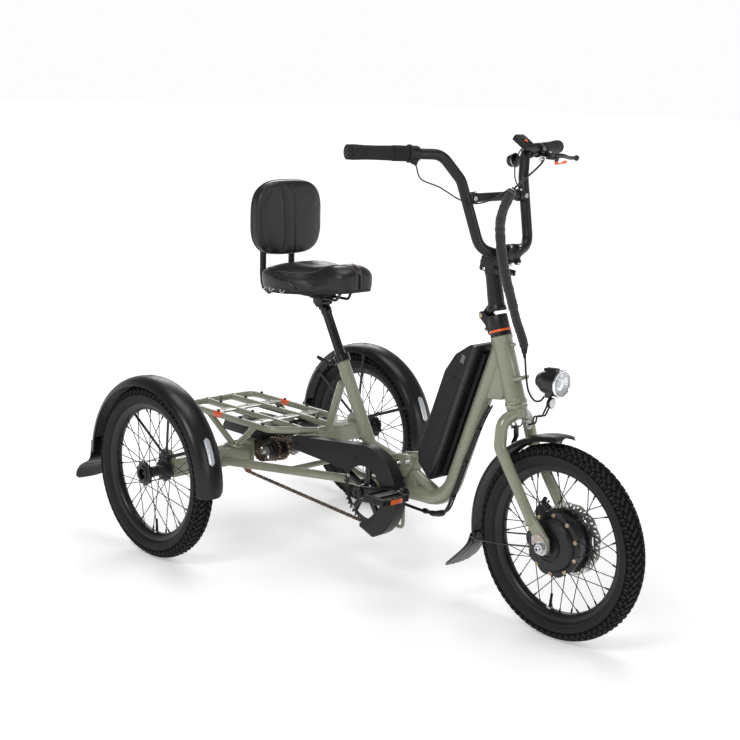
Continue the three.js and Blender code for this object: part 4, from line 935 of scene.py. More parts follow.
# ---- frame ---------------------------------------------------------------------------------------------
SEAT_TOP, SEAT_FOOT = vec(-783, 0, 568), vec(-657, 0, 341)
SEAT_UP = unit(SEAT_TOP - SEAT_FOOT)
DOWN_TOP, DOWN_BEND, DOWN_END = vec(-212, 0, 676), vec(-366, 0, 256), vec(-550, 0, 248)
down_path = even(bent([DOWN_TOP, DOWN_BEND, DOWN_END], 100, 24), 90)
head_shell = turn([(18, 0), (25.5, 0), (27.5, 1), (27.8, 8), (25.4, 11), (25, 14), (25, 154), (25.4, 159),
                   (27.3, 162), (27.3, 169), (26, 170), (18, 170)], head(0), HEAD_UP, 72)
GUSSET = [(-186, 566), (-192, 553), (-246, 546), (-262, 554), (-240, 618), (-214, 672), (-206, 650)]
JOINT_PLATE = [(-516, 306), (-500, 293), (-484, 297), (-475, 320), (-481, 346), (-500, 350), (-512, 344)]
front = [tube(down_path, 22, 40), head_shell, soften(plate(GUSSET, -13, 13), 7, 4),
         rod((-402, 0, 266), (-508, 0, 312), 14, sides=32), soften(plate(JOINT_PLATE, -14.8, 14.8), 2),
         soften(plate([(-514, 300), (-478, 304), (-470, 262), (-524, 256)], -11, 11), 3, 3),
         weld((DOWN_TOP, unit(DOWN_TOP - vec(-300, 0, 440))), 22, (head(60), HEAD_UP), 25, 2.6),
         weld(((-508, 0, 312), (0.917, 0, -0.398)), 14, ((-380, 0, 252), (-1, 0, -0.04)), 22, 2.2)]
for side in (-1, 1):
    y = side * 22
    front.append(tube(bent([(-546, y, 224), (-546, y, 131), (-576, y, 131), (-573, y, 224)], 14, 8), 5, 16))
front.append(soften(block((-560, 0, 224), (34, 54, 9)), 2.5))
for distance, side, reach in ((60, -14, 41), (60, 14, 41), (142, 0, 34)):
    front.append(rod(head(distance, 16, side), head(distance, reach, side), 5.4, sides=24, chamfer=0.8))
piece("frame_front", "frame", SAGE, front, replaces=["front_frame"])
piece("boss_bolts", "frame", STEEL, [cap_bolt(head(d, r, s), HEAD_FORE, 3.9, 3.4)
      for d, s, r in ((60, -14, 41), (60, 14, 41), (142, 0, 34))])
piece("headset_lines", "frame", GLOSS,
      turn([(24, -0.9), (27.2, -0.9), (27.4, 0.6), (24, 0.6)], head(0.6), HEAD_UP, 64),
      turn([(24.5, 0), (26.9, 0), (26.9, 1.4), (24.5, 1.4)], head(170.2), HEAD_UP, 64))

CLAMP = [(-560, 300), (-554, 336), (-540, 346), (-500, 353), (-484, 350), (-477, 338), (-478, 322),
         (-500, 292), (-540, 284)]
spine = []
for side in (-1, 1):
    route = even(bent([(-612, side * 17, 240), (-720, side * 29, 238), (-1078, side * 180, 236)], 80, 10),
                 40)
    spine.append(tube(route, 12, 28))
    spine.append(weld(((-940, side * 122, 237), (-0.921, side * 0.389, 0)), 12,
                      ((-1065, 0, 226), (0, 1, 0)), 10, 2))
rear = spine + [
    rod(SEAT_FOOT - SEAT_UP * 12, SEAT_TOP, 17, sides=40),
    rod((-652, 0, 338), (-560, 0, 318), 19, sides=40),
    turn_solid([(0, -19), (12, -16), (17, -9), (19, 0), (17, 9), (12, 16), (0, 19)], (-655, 0, 337),
               (0.35, 0, 0.94), 40),
    soften(plate([(-590, 331), (-556, 340), (-519, 346), (-519, 306), (-534, 286), (-560, 276),
                  (-592, 270)], -15.6, 15.6), 3, 3),
    soften(plate(CLAMP, -24, -16), 1.4), soften(plate(CLAMP, 16, 24), 1.4),
    soften(plate([(-628, 240), (-602, 334), (-556, 330), (-553, 276), (-580, 258)], -13.6, 13.6), 4, 3),
    turn([(10, -34), (21, -34), (22.5, -32), (22.5, 32), (21, 34), (10, 34)], CRANK, Y, 56),
    soften(block((-1152, 0, 246), (14, 2 * 76 + 8, 30)), 3),
    rod((-880, -92, 238), (-880, 92, 238), 8, sides=24),
    weld((SEAT_FOOT + SEAT_UP * 20, -SEAT_UP), 17, ((-600, 0, 326), (-1, 0, 0.21)), 19, 2.2)]
for side in (-1, 1):
    low, high = sorted((side * 76, side * 354))
    rear += [soften(block((REAR[0], (low + high) / 2, 244), (50, high - low, 52)), 7, 4),
             soften(block((REAR[0], side * 78, 244), (68, 6, 66)), 2.2),
             soften(block((-1134, side * 78, 246), (50, 6, 30)), 1.5),
             turn_solid([(0, 0), (38.5, 0), (40.5, 1.5), (40.5, 5), (39, 6), (0, 6)],
                        (REAR[0], side * 350.4, 256), Y * side, 72)]
piece("frame_rear", "frame", SAGE, rear, replaces=["rear_frame"])
# Painted shade: dark bars on each bearing plate stand for the shade inside its slots.
slot_shade_marks = []
for side in (-1, 1):
    face = vec(REAR[0], side * 356.4, 256)
    slot_shade_marks += [soften(block(face + vec(dx, 0, dz), (3.2, 1.2, 9), tilt), 0.4)
                    for dx, dz, tilt in ((0, 27, 0), (0, 10, 0), (-20, -16, 0.8), (20, -16, -0.8))]
piece("bearing_plate_slot_shade", "frame", DARK_STEEL, slot_shade_marks, slot="black_satin")
clamp_bolts = []
for x, z in ((-525, 324), (-492, 334)):
    for side in (-1, 1):
        seat = vec(x, side * 24, z)
        clamp_bolts += [turn([(5, 0), (9.2, 0), (9.2, 1.6), (5, 1.6)], seat, Y * side, 32),
                        cap_bolt(seat + Y * side * 1.4, Y * side, 6.6, 6.5)]
piece("clamp_bolts", "frame", STEEL, clamp_bolts)

# ---- rack ----------------------------------------------------------------------------------------------
RACK_Z, RACK_Y, RACK_END = 346, 125, -1318
rack, studs, bands = [], [], []
for side in (-1, 1):
    rail = bent([(-838, side * 16, RACK_Z), (-935, side * RACK_Y, RACK_Z),
                 (RACK_END + 4, side * RACK_Y, RACK_Z),
                 (RACK_END, side * 60, RACK_Z), (RACK_END, side * -4, RACK_Z)], 42, 12)
    rack.append(tube(even(rail, 90), 9.5, 28))
    rack.append(rod((-872, side * 50, RACK_Z), (RACK_END + 4, side * 46, RACK_Z), 9.5, sides=28))
    for top_x, foot_x in ((-1205, -1088), (-995, -1072)):
        rack.append(rod((top_x, side * 125, RACK_Z - 3), (foot_x, side * 128, 272), 9, sides=28))
        rack.append(weld(((foot_x, side * 128, 272), unit(vec(top_x - foot_x, side * -3, 71))), 9,
                         ((0, side * 125, RACK_Z), (1, 0, 0)), 9.5, 1.8))
    rack.append(soften(block((-1080, side * 128, 273.2), (54, 36, 6)), 2))
    rack += [weld(((-1000, side * 48.3, RACK_Z), (-1, 0, 0)), 9.5, ((RACK_END, 0, RACK_Z), (0, 1, 0)), 9.5,
                  1.8),
             weld(((-990, side * 48.3, RACK_Z), (1, 0, 0)), 9.5,
                  ((-884, side * 66, RACK_Z), (0.66, side * -0.75, 0)), 9.5, 1.8)]
    for x, y in ((-960, 125), (-1060, 125), (-1160, 125), (-1270, 125), (-930, 49), (-1100, 48),
                 (-1250, 47)):
        studs.append(turn_solid([(0, 0), (4.2, 0), (4.6, 2), (3.8, 5), (0, 6)], (x, side * y, RACK_Z + 8.2),
                                (0, 0, 1), 20))
    bands.append(tube([(-1174, side * RACK_Y, RACK_Z), (-1136, side * RACK_Y, RACK_Z)],
                      9.75, 32))
rack += [rod((-842, -32, RACK_Z), (-842, 32, RACK_Z), 11, sides=28, chamfer=2),
         rod((-828, 0, RACK_Z + 2), (-776, 0, 492), 11, sides=32),
         weld(((-828, 0, 348), unit(vec(52, 0, 144))), 11, (SEAT_FOOT, SEAT_UP), 17, 2.2)]
for x in (-1180, -1010):
    rack.append(soften(plate([(x - 17, RACK_Z + 0.2), (x + 17, RACK_Z + 0.2), (x + 17, RACK_Z + 5.2),
                              (x - 17, RACK_Z + 5.2)],
                             -RACK_Y + 4, RACK_Y - 4), 1.2))
piece("rack_rails", "frame", SAGE, rack, replaces=["rear_rack"])
piece("rack_studs", "frame", RUBBER, studs)
piece("rack_bands", "frame", ORANGE, bands)
piece("rack_bolts", "frame", STEEL, [cap_bolt((x, y, RACK_Z + 5.2), (0, 0, 1), 4.2, 2.8)
      for x in (-1180, -1010) for y in (-88, 0, 88)])

# ---- battery -------------------------------------------------------------------------------------------
TUBE_UP = unit(vec(154, 0, 420))
TUBE_BACK = unit(vec(-420, 0, 154))


def slab(corners, low, high):
    """A plate drawn along the down tube, as (distance along, distance behind)."""
    return plate([tuple((DOWN_BEND + TUBE_UP * a + TUBE_BACK * b)[[0, 2]]) for a, b in corners], low, high)


def slab_point(along, behind, y):
    """A point measured along the down tube."""
    return DOWN_BEND + TUBE_UP * along + TUBE_BACK * behind + Y * y


CASE = [(52, 35), (40, 52), (62, 100), (88, 112), (330, 112), (385, 96), (430, 62), (440, 35)]
piece("battery_case", "battery_pack", PLASTIC, soften(slab(CASE, -43.5, 43.5), 9, 5, 30),
      replaces=["battery"])
panel = [(84, 60), (76, 74), (88, 96), (100, 101), (318, 101), (330, 90), (330, 64), (320, 55), (100, 55)]
raised = []
for side in (-1, 1):
    low, high = sorted((side * 42.6, side * 44.4))
    raised.append(soften(slab(panel, low, high), 0.9, 3))
piece("battery_side_panels", "battery_pack", PLASTIC, raised)
piece("battery_seam", "battery_pack", GLOSS,
      soften(slab([(49, 38), (43, 49.4), (433, 49.4), (437, 38)], -43.9, 43.9), 0.8), slot="case_plastic")
piece("battery_port_cover", "battery_pack", GREY,
      soften(slab([(376, 60), (376, 72), (398, 72), (398, 60)], -45, -42.6), 3, 4, 30))
line = smooth_path([(330, -43.6, 40), (331, -43.6, 66), (326, -43.6, 84), (310, -43.6, 95)], 40)
piece("battery_panel_line", "battery_pack", GLOSS,
      [tube([slab_point(a, b, s * 43.9) for a, _, b in line], 1.3, 8) for s in (-1, 1)],
      slot="case_plastic")
piece("rail_strip", "frame", PLASTIC,
      soften(slab([(62, 22.6), (62, 34), (418, 34), (418, 22.6)], -20, 20), 2.5, 3),
      slot="black_satin", replaces=["battery_rail"])
piece("rail_screws", "frame", DARK_STEEL, [cap_bolt(slab_point(a, 27, s * 19.6), Y * s, 2.6, 1.6)
      for a in range(84, 410, 36) for s in (-1, 1)])

# ---- rear fenders --------------------------------------------------------------------------------------
def strip(path, width, thick, face):
    """A flat strap along a path; face is the direction its flat side looks."""
    path = np.asarray(path, float)
    rings = []
    for p, tangent in zip(path, np.gradient(path, axis=0)):
        normal = unit(np.asarray(face, float) - unit(tangent) * (unit(tangent) @ np.asarray(face, float)))
        edge = np.cross(unit(tangent), normal)
        rings.append([p + edge * width / 2 * a + normal * thick / 2 * b
                      for a, b in ((-1, -0.6), (-0.9, -1), (0.9, -1), (1, -0.6), (1, 0.6), (0.9, 1),
                                   (-0.9, 1), (-1, 0.6))])
    return loft(rings)


def on_fender(centre, degrees, radius, side=0.0):
    """A point round a wheel, 0 forward and 90 up."""
    a = math.radians(degrees)
    return centre + vec(radius * math.cos(a), side, radius * math.sin(a))


for SIDE, LABEL in ((-1, "right"), (1, "left")):
    HUB = vec(REAR[0], SIDE * TRACK, REAR[2])
    piece(f"fender_{LABEL}", "frame", FENDER,
          fender_sheet(HUB, FENDER_RADIUS, 43, -3.5, 178, 110, 20, lambda t: rounded_end(t, 0.035), 3.5, 25),
          replaces=[f"rear_fender_{LABEL}"])
    tail_line = smooth_path([on_fender(HUB, 171, 259), on_fender(HUB, 178, 258), on_fender(HUB, 184, 266),
                             (-1392, HUB[1], 196), (-1411, HUB[1], 156)], 20)
    piece(f"mudflap_{LABEL}", "frame", FENDER,
          flap(tail_line, np.interp(np.linspace(0, 1, 20), [0, 0.3, 0.5, 0.85, 0.95, 1],
                                    [37, 38, 42, 52, 50, 40]), 2.6))
    spine_line = [on_fender(HUB, a, 266.2) for a in np.linspace(31.8, 15.6, 16)]
    half_width = [9.2 * math.sqrt(max(0.02, 1 - max(0, abs(2 * t - 1) - 0.76) ** 2 / 0.24 ** 2))
                  for t in np.linspace(0, 1, 16)]
    rings, bezel = [], []
    for p, w, a in zip(spine_line, half_width, np.linspace(31.8, 15.6, 16)):
        out = on_fender(HUB, a, 1) - HUB
        rings.append([p + Y * w * s + out * lift
                      for s, lift in ((-1, -4), (-1, 0.6), (-0.8, 1.5), (0.8, 1.5), (1, 0.6), (1, -4))])
        bezel.append([p + Y * (w + 1.8) * s + out * lift
                      for s, lift in ((-1, -4), (-1, -0.2), (-0.9, 0.4), (0.9, 0.4), (1, -0.2), (1, -4))])
    piece(f"fender_reflector_{LABEL}", "frame", WHITE_REFLECTOR, loft(rings))
    piece(f"fender_reflector_seat_{LABEL}", "frame", PLASTIC, loft(bezel), slot="fender_plastic")
    screws, dimples = [], []
    for degrees in (36.5, 93, 141):
        out = on_fender(HUB, degrees, 1) - HUB
        at = on_fender(HUB, degrees, 264.4)
        dimples.append(turn([(2.4, 0.4), (7.4, -0.5), (7.6, 1.3), (6.6, 1.9), (2.4, 1.4)], at, out, 32))
        screws.append(cap_bolt(at + out * 0.2, out, 4.6, 1.6))
    piece(f"fender_dimples_{LABEL}", "frame", PLASTIC, dimples, slot="fender_plastic")
    piece(f"fender_screws_{LABEL}", "frame", DARK_STEEL, screws, slot="black_satin")
    root = vec(REAR[0], SIDE * 358.6, 272)
    straps, clips = [], []
    for a in (2.46, 1.49, 0.47):
        out = vec(math.cos(a), 0, math.sin(a))
        tip = vec(REAR[0], SIDE * 361.5, REAR[2]) + out * 252
        way = unit(tip - root)
        straps.append(strip([root + way * 6, root + way * 30, tip - way * 24, tip], 9, 2.4, Y))
        clips.append(soften(strip([tip - way * 16, tip + way * 3], 17, 4.6, Y), 1.2))
    straps.append(turn_solid([(0, -1.6), (15, -1.6), (16, -0.6), (16, 0.8), (15, 1.6), (0, 1.6)],
                             root + Y * SIDE * 0.4, Y * SIDE, 40))
    piece(f"fender_straps_{LABEL}", "frame", SATIN, straps)
    piece(f"fender_strap_clips_{LABEL}", "frame", PLASTIC, clips, slot="fender_plastic")
    piece(f"fender_strap_bolts_{LABEL}", "frame", STEEL,
          cap_bolt(root + Y * SIDE * 0.8, Y * SIDE, 4.4, 1.4))

# ---- chains and sprockets ------------------------------------------------------------------------------
PITCH = 12.7
PRIMARY_Y, DRIVE_Y = -52, -22
RING_TEETH, SMALL_TEETH, IDLER_TEETH = 46, 16, 10


def tooth_radius(teeth):
    """The radius that a sprocket's chain pins lie on."""
    return PITCH / (2 * math.sin(math.pi / teeth))


def belt(discs):
    """The closed line pulled tight outside discs of (x, z, radius), as points in XZ."""
    def tangent_turn(a, b):
        return math.atan2(b[1] - a[1], b[0] - a[0]) - math.pi / 2 + math.asin(
            (a[2] - b[2]) / math.hypot(b[0] - a[0], b[1] - a[1]))
    line = []
    for i, here in enumerate(discs):
        start, end = tangent_turn(discs[i - 1], here), tangent_turn(here, discs[(i + 1) % len(discs)])
        while end < start:
            end += 2 * math.pi
        line += [(here[0] + here[2] * math.cos(a), 0, here[1] + here[2] * math.sin(a))
                 for a in np.linspace(start, end, 8 + int(here[2]))]
    return np.array(line)


def link_shape(reach, half_thick, offset, waist):
    """Side plate of a link along X, mirrored to both sides."""
    ring = [(-PITCH / 2 + reach * math.cos(a), reach * math.sin(a))
            for a in np.linspace(math.pi / 2, 1.5 * math.pi, 7)]
    ring += [(0, -waist)] + [(PITCH / 2 + reach * math.cos(a), reach * math.sin(a))
                             for a in np.linspace(-math.pi / 2, math.pi / 2, 7)]
    ring += [(0, waist)]
    plates = []
    for side in (-1, 1):
        y = side * offset
        plates.append(loft([[(x, y - half_thick, z) for x, z in ring],
                            [(x, y + half_thick, z) for x, z in ring]]))
    return plates


INNER_LINK = merge(link_shape(4.1, 0.45, 2.5, 2.9))
OUTER_LINK = merge(link_shape(4.1, 0.45, 3.5, 2.9))


def chain_run(discs, y):
    """A closed chain round discs: its pins, link plates and rollers."""
    loop = belt(discs)
    closed = np.vstack([loop, loop[:1]])
    length = np.linalg.norm(np.diff(closed, axis=0), axis=1).sum()
    count = 2 * round(length / PITCH / 2)
    pins = even(closed, count + 1)[:-1] + Y * y
    plates, rollers = [], []
    for i, pin in enumerate(pins):
        after = pins[(i + 1) % count]
        along = unit(after - pin)
        normal = np.cross(along, Y)
        shape = INNER_LINK if i % 2 else OUTER_LINK
        stretch = np.linalg.norm(after - pin) / PITCH
        corners = shape[0]
        placed = (pin + after) / 2 + np.outer(corners[:, 0] * stretch, along)
        placed = placed + np.outer(corners[:, 1], Y) + np.outer(corners[:, 2], normal)
        plates.append((placed, shape[1], None))
        rollers += [rod(pin - Y * 2, pin + Y * 2, 3.85, sides=12),
                    rod(pin - Y * 4.6, pin + Y * 4.6, 1.7, sides=8)]
    return pins, plates, rollers


# One tooth, as (share of a tooth, height over the circle of the pins).
TOOTH = [(0, -4.4), (0.14, -3.6), (0.27, -1.2), (0.38, 2.2), (0.46, 3.6), (0.54, 3.6), (0.62, 2.2),
         (0.73, -1.2), (0.86, -3.6)]


def toothed(centre, teeth, y, half_thick, holes, pins):
    """A sprocket whose tooth gaps sit on the chain's pins."""
    radius = tooth_radius(teeth)
    near = min(pins, key=lambda p: abs(math.hypot(p[0] - centre[0], p[2] - centre[2]) - radius))
    phase = math.atan2(near[2] - centre[2], near[0] - centre[0])
    outline = []
    for k in range(teeth):
        for share, lift in TOOTH:
            a = phase + 2 * math.pi * (k + share) / teeth
            outline.append((centre[0] + (radius + lift) * math.cos(a),
                            centre[2] + (radius + lift) * math.sin(a)))
    return plate(outline, y - half_thick, y + half_thick, holes)


primary_pins, primary_plates, primary_rollers = chain_run([
    (CRANK[0], CRANK[2], tooth_radius(RING_TEETH)), (SHAFT[0], SHAFT[2], tooth_radius(SMALL_TEETH)),
    (IDLER[0], IDLER[2], tooth_radius(IDLER_TEETH))], PRIMARY_Y)
drive_pins, drive_plates, drive_rollers = chain_run([
    (SHAFT[0], SHAFT[2], tooth_radius(SMALL_TEETH)), (REAR[0], REAR[2], tooth_radius(SMALL_TEETH))],
    DRIVE_Y)
piece("primary_links", "frame", CHAIN, primary_plates, replaces=["primary_chain"])
piece("primary_rollers", "frame", ROLLER, primary_rollers)
piece("drive_links", "frame", CHAIN, drive_plates, replaces=["drive_chain"])
piece("drive_rollers", "frame", ROLLER, drive_rollers)

windows = []
for k in range(5):
    a0 = 2 * math.pi * k / 5 + 0.25
    span = np.linspace(a0 + 0.14, a0 + 2 * math.pi / 5 - 0.14, 8)
    windows.append([(CRANK[0] + r * math.cos(a), CRANK[2] + r * math.sin(a))
                    for r, turns in ((34, span), (80, span[::-1])) for a in turns])
piece("chainring_teeth", "cranks", GLOSS,
      toothed(CRANK, RING_TEETH, PRIMARY_Y, 1.8, windows + [circle(CRANK[0], CRANK[2], 13, 40)],
      primary_pins), replaces=["chainring"])
spider, ring_bolts = [turn([(10, -64), (19, -64), (23, -60), (23, -55), (10, -55)], CRANK * vec(1, 0, 1), Y,
                           48)], []
for k in range(5):
    a = 2 * math.pi * k / 5 + 0.25
    out = vec(math.cos(a), 0, math.sin(a))
    arm = [vec(CRANK[0], -58.5, CRANK[2]) + out * r for r in (14, 30, 50, 70, 80)]
    spider.append(tube(arm, [13, 10, 8.4, 8.2, 9.5], 20, squeeze=lambda t: (0.36, 1)))
    ring_bolts.append(cap_bolt(vec(CRANK[0], -61.6, CRANK[2]) + out * 74, -Y, 4.8, 2))
piece("crank_spider", "cranks", GLOSS, spider)
piece("chainring_bolts", "cranks", STEEL, ring_bolts)
BOOT = vec(SHAFT[0], 0, SHAFT[2])
hole = [circle(SHAFT[0], SHAFT[2], 15.5, 30)]
piece("shaft_sprockets", "middle_shaft", CHAIN,
      toothed(SHAFT, SMALL_TEETH, PRIMARY_Y, 1.5, hole, primary_pins),
      toothed(SHAFT, SMALL_TEETH, DRIVE_Y, 1.5, hole, drive_pins), replaces=["jackshaft"])
piece("shaft_hub", "middle_shaft", HUB_BLACK,
      turn_solid([(0, -70), (14, -70), (16.5, -67), (16.5, -60), (24, -58), (24, -55.5), (16.5, -54),
      (16.5, -47), (19.5, -45), (19.5, -28), (16.5, -26), (16.5, -17), (19, -15), (19, 22), (0, 22)], BOOT,
      Y, 72), slot="black_satin")
piece("shaft_disc", "middle_shaft", STEEL,
      turn_solid([(0, -95), (7.6, -95), (8, -94), (8, 24), (27, 25.5), (28, 27), (28, 30), (26.5, 31.5),
      (17, 32.5), (15, 36), (8, 36), (8, 91), (7.4, 92), (0, 92)], BOOT, Y, 60))
piece("shaft_nut", "middle_shaft", GREY, soften(rod(BOOT - Y * 84, BOOT - Y * 72, 13, sides=6), 1.2),
      slot="steel_bright")
wheel_hole = [circle(REAR[0], REAR[2], 9.2, 30)]
piece("axle_sprocket_teeth", "drive_sprocket", CHAIN,
      toothed(REAR, SMALL_TEETH, DRIVE_Y, 1.6, wheel_hole, drive_pins),
      turn([(9.2, -2), (20, -2), (21, 2), (17, 6), (9.2, 6)], vec(REAR[0], DRIVE_Y, REAR[2]), Y, 48),
      replaces=["axle_sprocket"])
piece("idler_wheel", "tension_wheel", RED,
      toothed(IDLER, IDLER_TEETH, PRIMARY_Y, 1.9, [circle(IDLER[0], IDLER[2], 4.4, 20)], primary_pins),
      turn([(4.4, -5.5), (9, -5.5), (10.5, -4), (10.5, 4), (9, 5.5), (4.4, 5.5)],
           IDLER * vec(1, 0, 1) + Y * PRIMARY_Y, Y, 40), replaces=["idler"])
bracket = [soften(plate([(-1126, 232), (-1098, 232), (-1103, 190), (-1108, 184), (-1118, 184),
                         (-1124, 190)], y - 1.6, y + 1.6), 0.8)
           for y in (PRIMARY_Y - 8.2, PRIMARY_Y + 8.2)]
piece("idler_bracket", "frame", SAGE, bracket, soften(block((-1112, PRIMARY_Y, 226), (26, 19, 6)), 1))
piece("idler_bolt", "frame", STEEL,
      rod(vec(IDLER[0], PRIMARY_Y - 11, IDLER[2]), vec(IDLER[0], PRIMARY_Y + 11, IDLER[2]), 3.6, sides=24),
      cap_bolt(vec(IDLER[0], PRIMARY_Y - 9.6, IDLER[2]), -Y, 6, 4))

# ---- guards --------------------------------------------------------------------------------------------
def arc(radius, start, end, steps):
    """Points round the crank, in degrees."""
    return [(CRANK[0] + radius * math.cos(math.radians(a)), CRANK[2] + radius * math.sin(math.radians(a)))
            for a in np.linspace(start, end, steps)]


guard_face = arc(124, 96, -72, 60) + [(-610, 134.5), (-617, 136), (-617, 146), (-606, 153),
                                      (-593, 158)] + arc(68, -40, 150, 50) + [
    (-682, 279), (-700, 281), (-884, 291), (-892, 294), (-898, 302), (-898, 322), (-892, 330)]
piece("guard_face", "frame", SATIN, soften(plate(guard_face, -72.4, -69.2), 1.3, 3, 30),
      replaces=["chain_guard"])
rim_line = [(x, z) for x, z in arc(123.6, -70, 96, 60)] + [(-884, 329.6), (-893, 328)]
rim_rings = []
for k, (x, z) in enumerate(rim_line):
    toward = unit(vec(CRANK[0] - x, 0, CRANK[2] - z)) if k < 60 else vec(0.035, 0, -1)
    edge = vec(x, 0, z)
    rim_rings.append([edge - Y * 38, edge - Y * 66, edge - Y * 70.4 + toward * 1.4,
                      edge - Y * 72 + toward * 4,
                      edge - Y * 69.4 + toward * 4.4, edge - Y * 66 + toward * 2.4,
                      edge - Y * 38 + toward * 2.4])
piece("guard_rim", "frame", SATIN, loft(rim_rings))
piece("guard_screws", "frame", DARK_STEEL,
      [cap_bolt((x, -72.2, z), -Y, 4, 1.6) for x, z in ((-880, 310), (-640, 322), (-520, 270))],
      slot="black_satin")
cover_line = [(-1216, 284), (-1215, 297), (-1206, 314), (-1198, 318), (-1180, 319.4), (-1064, 322),
              (-1050, 320), (-1034, 311), (-1032, 304), (-1032, 284)]
inner_line = [(x + (3 if x < -1120 else -3), z - 3) for x, z in cover_line]
inner_line[0], inner_line[-1] = (-1213, 284), (-1035, 284)
cover_parts = [soften(plate(cover_line + inner_line[::-1], -66, 66), 0.6)]
cover_parts += [soften(plate([(-1216, 284)] + cover_line[1:-1] + [(-1032, 284)], y - 1.5, y + 1.5), 0.8)
                for y in (-64.5, 64.5)]
piece("drive_cover", "frame", PLASTIC, cover_parts, slot="black_satin", replaces=["chain_cover"])
piece("controller_box", "frame", PLASTIC, soften(block((-985, 42, 324), (44, 62, 26)), 3, 3))

# ---- cranks and pedals ---------------------------------------------------------------------------------
for SIDE, LABEL in ((-1, "right"), (1, "left")):
    END = at_joint(f"{LABEL}_pedal_turn") * vec(1, 0, 1)
    middle = CRANK * vec(1, 0, 1)
    way = unit(END - middle)
    arm = [middle + way * d + Y * SIDE * y
           for d, y in ((-4, 82), (20, 83), (60, 85.5), (120, 87), (168, 87))]
    eye = END + Y * SIDE * 87
    crank_parts = [tube(even(smooth_path(arm, 24), 24),
                        np.interp(np.linspace(0, 1, 24), [0, 0.15, 0.8, 1], [17, 14.5, 11, 11]), 28,
                        squeeze=lambda t: (0.56, 1)),
                   turn([(5, -11), (12.6, -11), (13.4, -9.6), (13.4, 9.6), (12.6, 11), (5, 11)], eye, Y,
                        40),
                   turn([(7.5, -13), (16.5, -13), (18, -10.5), (18, 10.5), (16.5, 14), (10, 14),
                         (7.5, 12.5)], middle + Y * SIDE * 84, Y * SIDE, 48)]
    if SIDE < 0:
        crank_parts += [turn([(8.4, -81), (17, -81), (19.5, -74), (19.5, -58), (8.4, -58)], middle, Y, 48),
                        rod(middle - Y * 80, middle + Y * 39.6, 8.4, sides=32)]
    else:
        crank_parts.append(rod(middle + Y * 76, middle + Y * 40.6, 8.4, sides=32))
    piece(f"crank_arm_{LABEL}", "cranks", GLOSS, crank_parts, replaces=[f"crank_{LABEL}"])
    piece(f"crank_caps_{LABEL}", "cranks", DARK_STEEL, cap_bolt(middle + Y * SIDE * 95, Y * SIDE, 8, 3))
    bars = [((END[0] + x, SIDE * y, END[2]), size) for x, y, size in (
        (0, 112, (82, 11, 17)), (0, 190, (72, 11, 17)), (36.5, 151, (9, 74, 17)), (-36.5, 151, (9, 74, 17)),
        (0, 150, (27, 76, 20)))]
    body_parts = [soften(block(at, size), 2.6, 3) for at, size in bars]
    body_parts += [soften(block((END[0] + x, SIDE * 151, END[2]), (4, 70, 13)), 1.2, 2) for x in (-21, 21)]
    body_parts.append(turn_solid([(0, 0), (10, 0), (11, 1.2), (11, 5), (9.5, 8), (0, 8.4)],
                                 END + Y * SIDE * 188.6, Y * SIDE, 32))
    piece(f"pedal_body_{LABEL}", f"{LABEL}_pedal", PLASTIC, body_parts, slot="black_satin",
          replaces=[f"pedal_{LABEL}"])
    piece(f"pedal_axle_{LABEL}", f"{LABEL}_pedal", STEEL,
          rod(END + Y * SIDE * 98.2, END + Y * SIDE * 112, 6.4, sides=24),
          soften(rod(END + Y * SIDE * 98.2, END + Y * SIDE * 103, 9.5, sides=6), 0.6))
    studs = [rod(END + vec(x, SIDE * y, -z), END + vec(x, SIDE * y, z), 1.9, sides=12, chamfer=0.5)
             for x, y, z in ((-36.5, 122, 10.2), (-36.5, 142, 10.2), (-36.5, 162, 10.2), (-36.5, 182, 10.2),
                             (36.5, 122, 10.2), (36.5, 142, 10.2),
                             (36.5, 162, 10.2), (36.5, 182, 10.2), (-18, 112, 10.2), (18, 112, 10.2),
                             (-16, 190, 10.2), (16, 190, 10.2))]
    piece(f"pedal_studs_{LABEL}", f"{LABEL}_pedal", DARK_STEEL, studs)
    piece(f"pedal_reflectors_{LABEL}", f"{LABEL}_pedal", AMBER_REFLECTOR,
          [soften(block((END[0] + x, SIDE * 152, END[2]), (4, 40, 12)), 0.9, 2) for x in (-41.4, 41.4)])

# ---- folding mast --------------------------------------------------------------------------------------
def hull(*rounds):
    """The outline pulled tight round circles of (x, z, radius)."""
    cloud = sorted({(round(x + r * math.cos(a), 4), round(z + r * math.sin(a), 4))
                    for x, z, r in rounds for a in np.linspace(0, 2 * math.pi, 36, endpoint=False)})
    chains = []
    for points in (cloud, cloud[::-1]):
        chain = []
        for p in points:
            while len(chain) > 1 and (chain[-1][0] - chain[-2][0]) * (p[1] - chain[-2][1]) <= (
                    chain[-1][1] - chain[-2][1]) * (p[0] - chain[-2][0]):
                chain.pop()
            chain.append(p)
        chains += chain[:-1]
    return chains


RING = head(171)
piece("orange_ring", "steerer", ORANGE,
      turn([(15, 9.5), (26.4, 9.5), (26.9, 10.3), (26.9, 14.2), (26.4, 15), (15, 15)], RING, HEAD_UP, 64))
piece("headset_cup", "steerer", GLOSS,
      turn([(15, 1), (26, 1), (26.6, 1.8), (26.6, 8.6), (26, 9.4), (15, 9.4)], RING, HEAD_UP, 64))
fold_shell = turn_solid([(0, 15), (25.2, 15), (25.6, 17), (25.2, 48), (24, 50.8), (0, 50.8)], RING, HEAD_UP,
                        64)
ear_parts = []
for low, high in ((-17, -8), (8, 17)):
    ear_parts.append(soften(plate(hull((FOLD[0], FOLD[2], 9.6), (-238, 728, 7), (-236, 744, 3)), low, high),
                            1.6, 3))
ear_parts.append(soften(plate(hull((-257, 744, 7), (-238, 715, 9), (-226, 744, 5)), -13, 13), 3, 3))
piece("fold_body", "steerer", SATIN, fold_shell, ear_parts, replaces=["fold_base"])
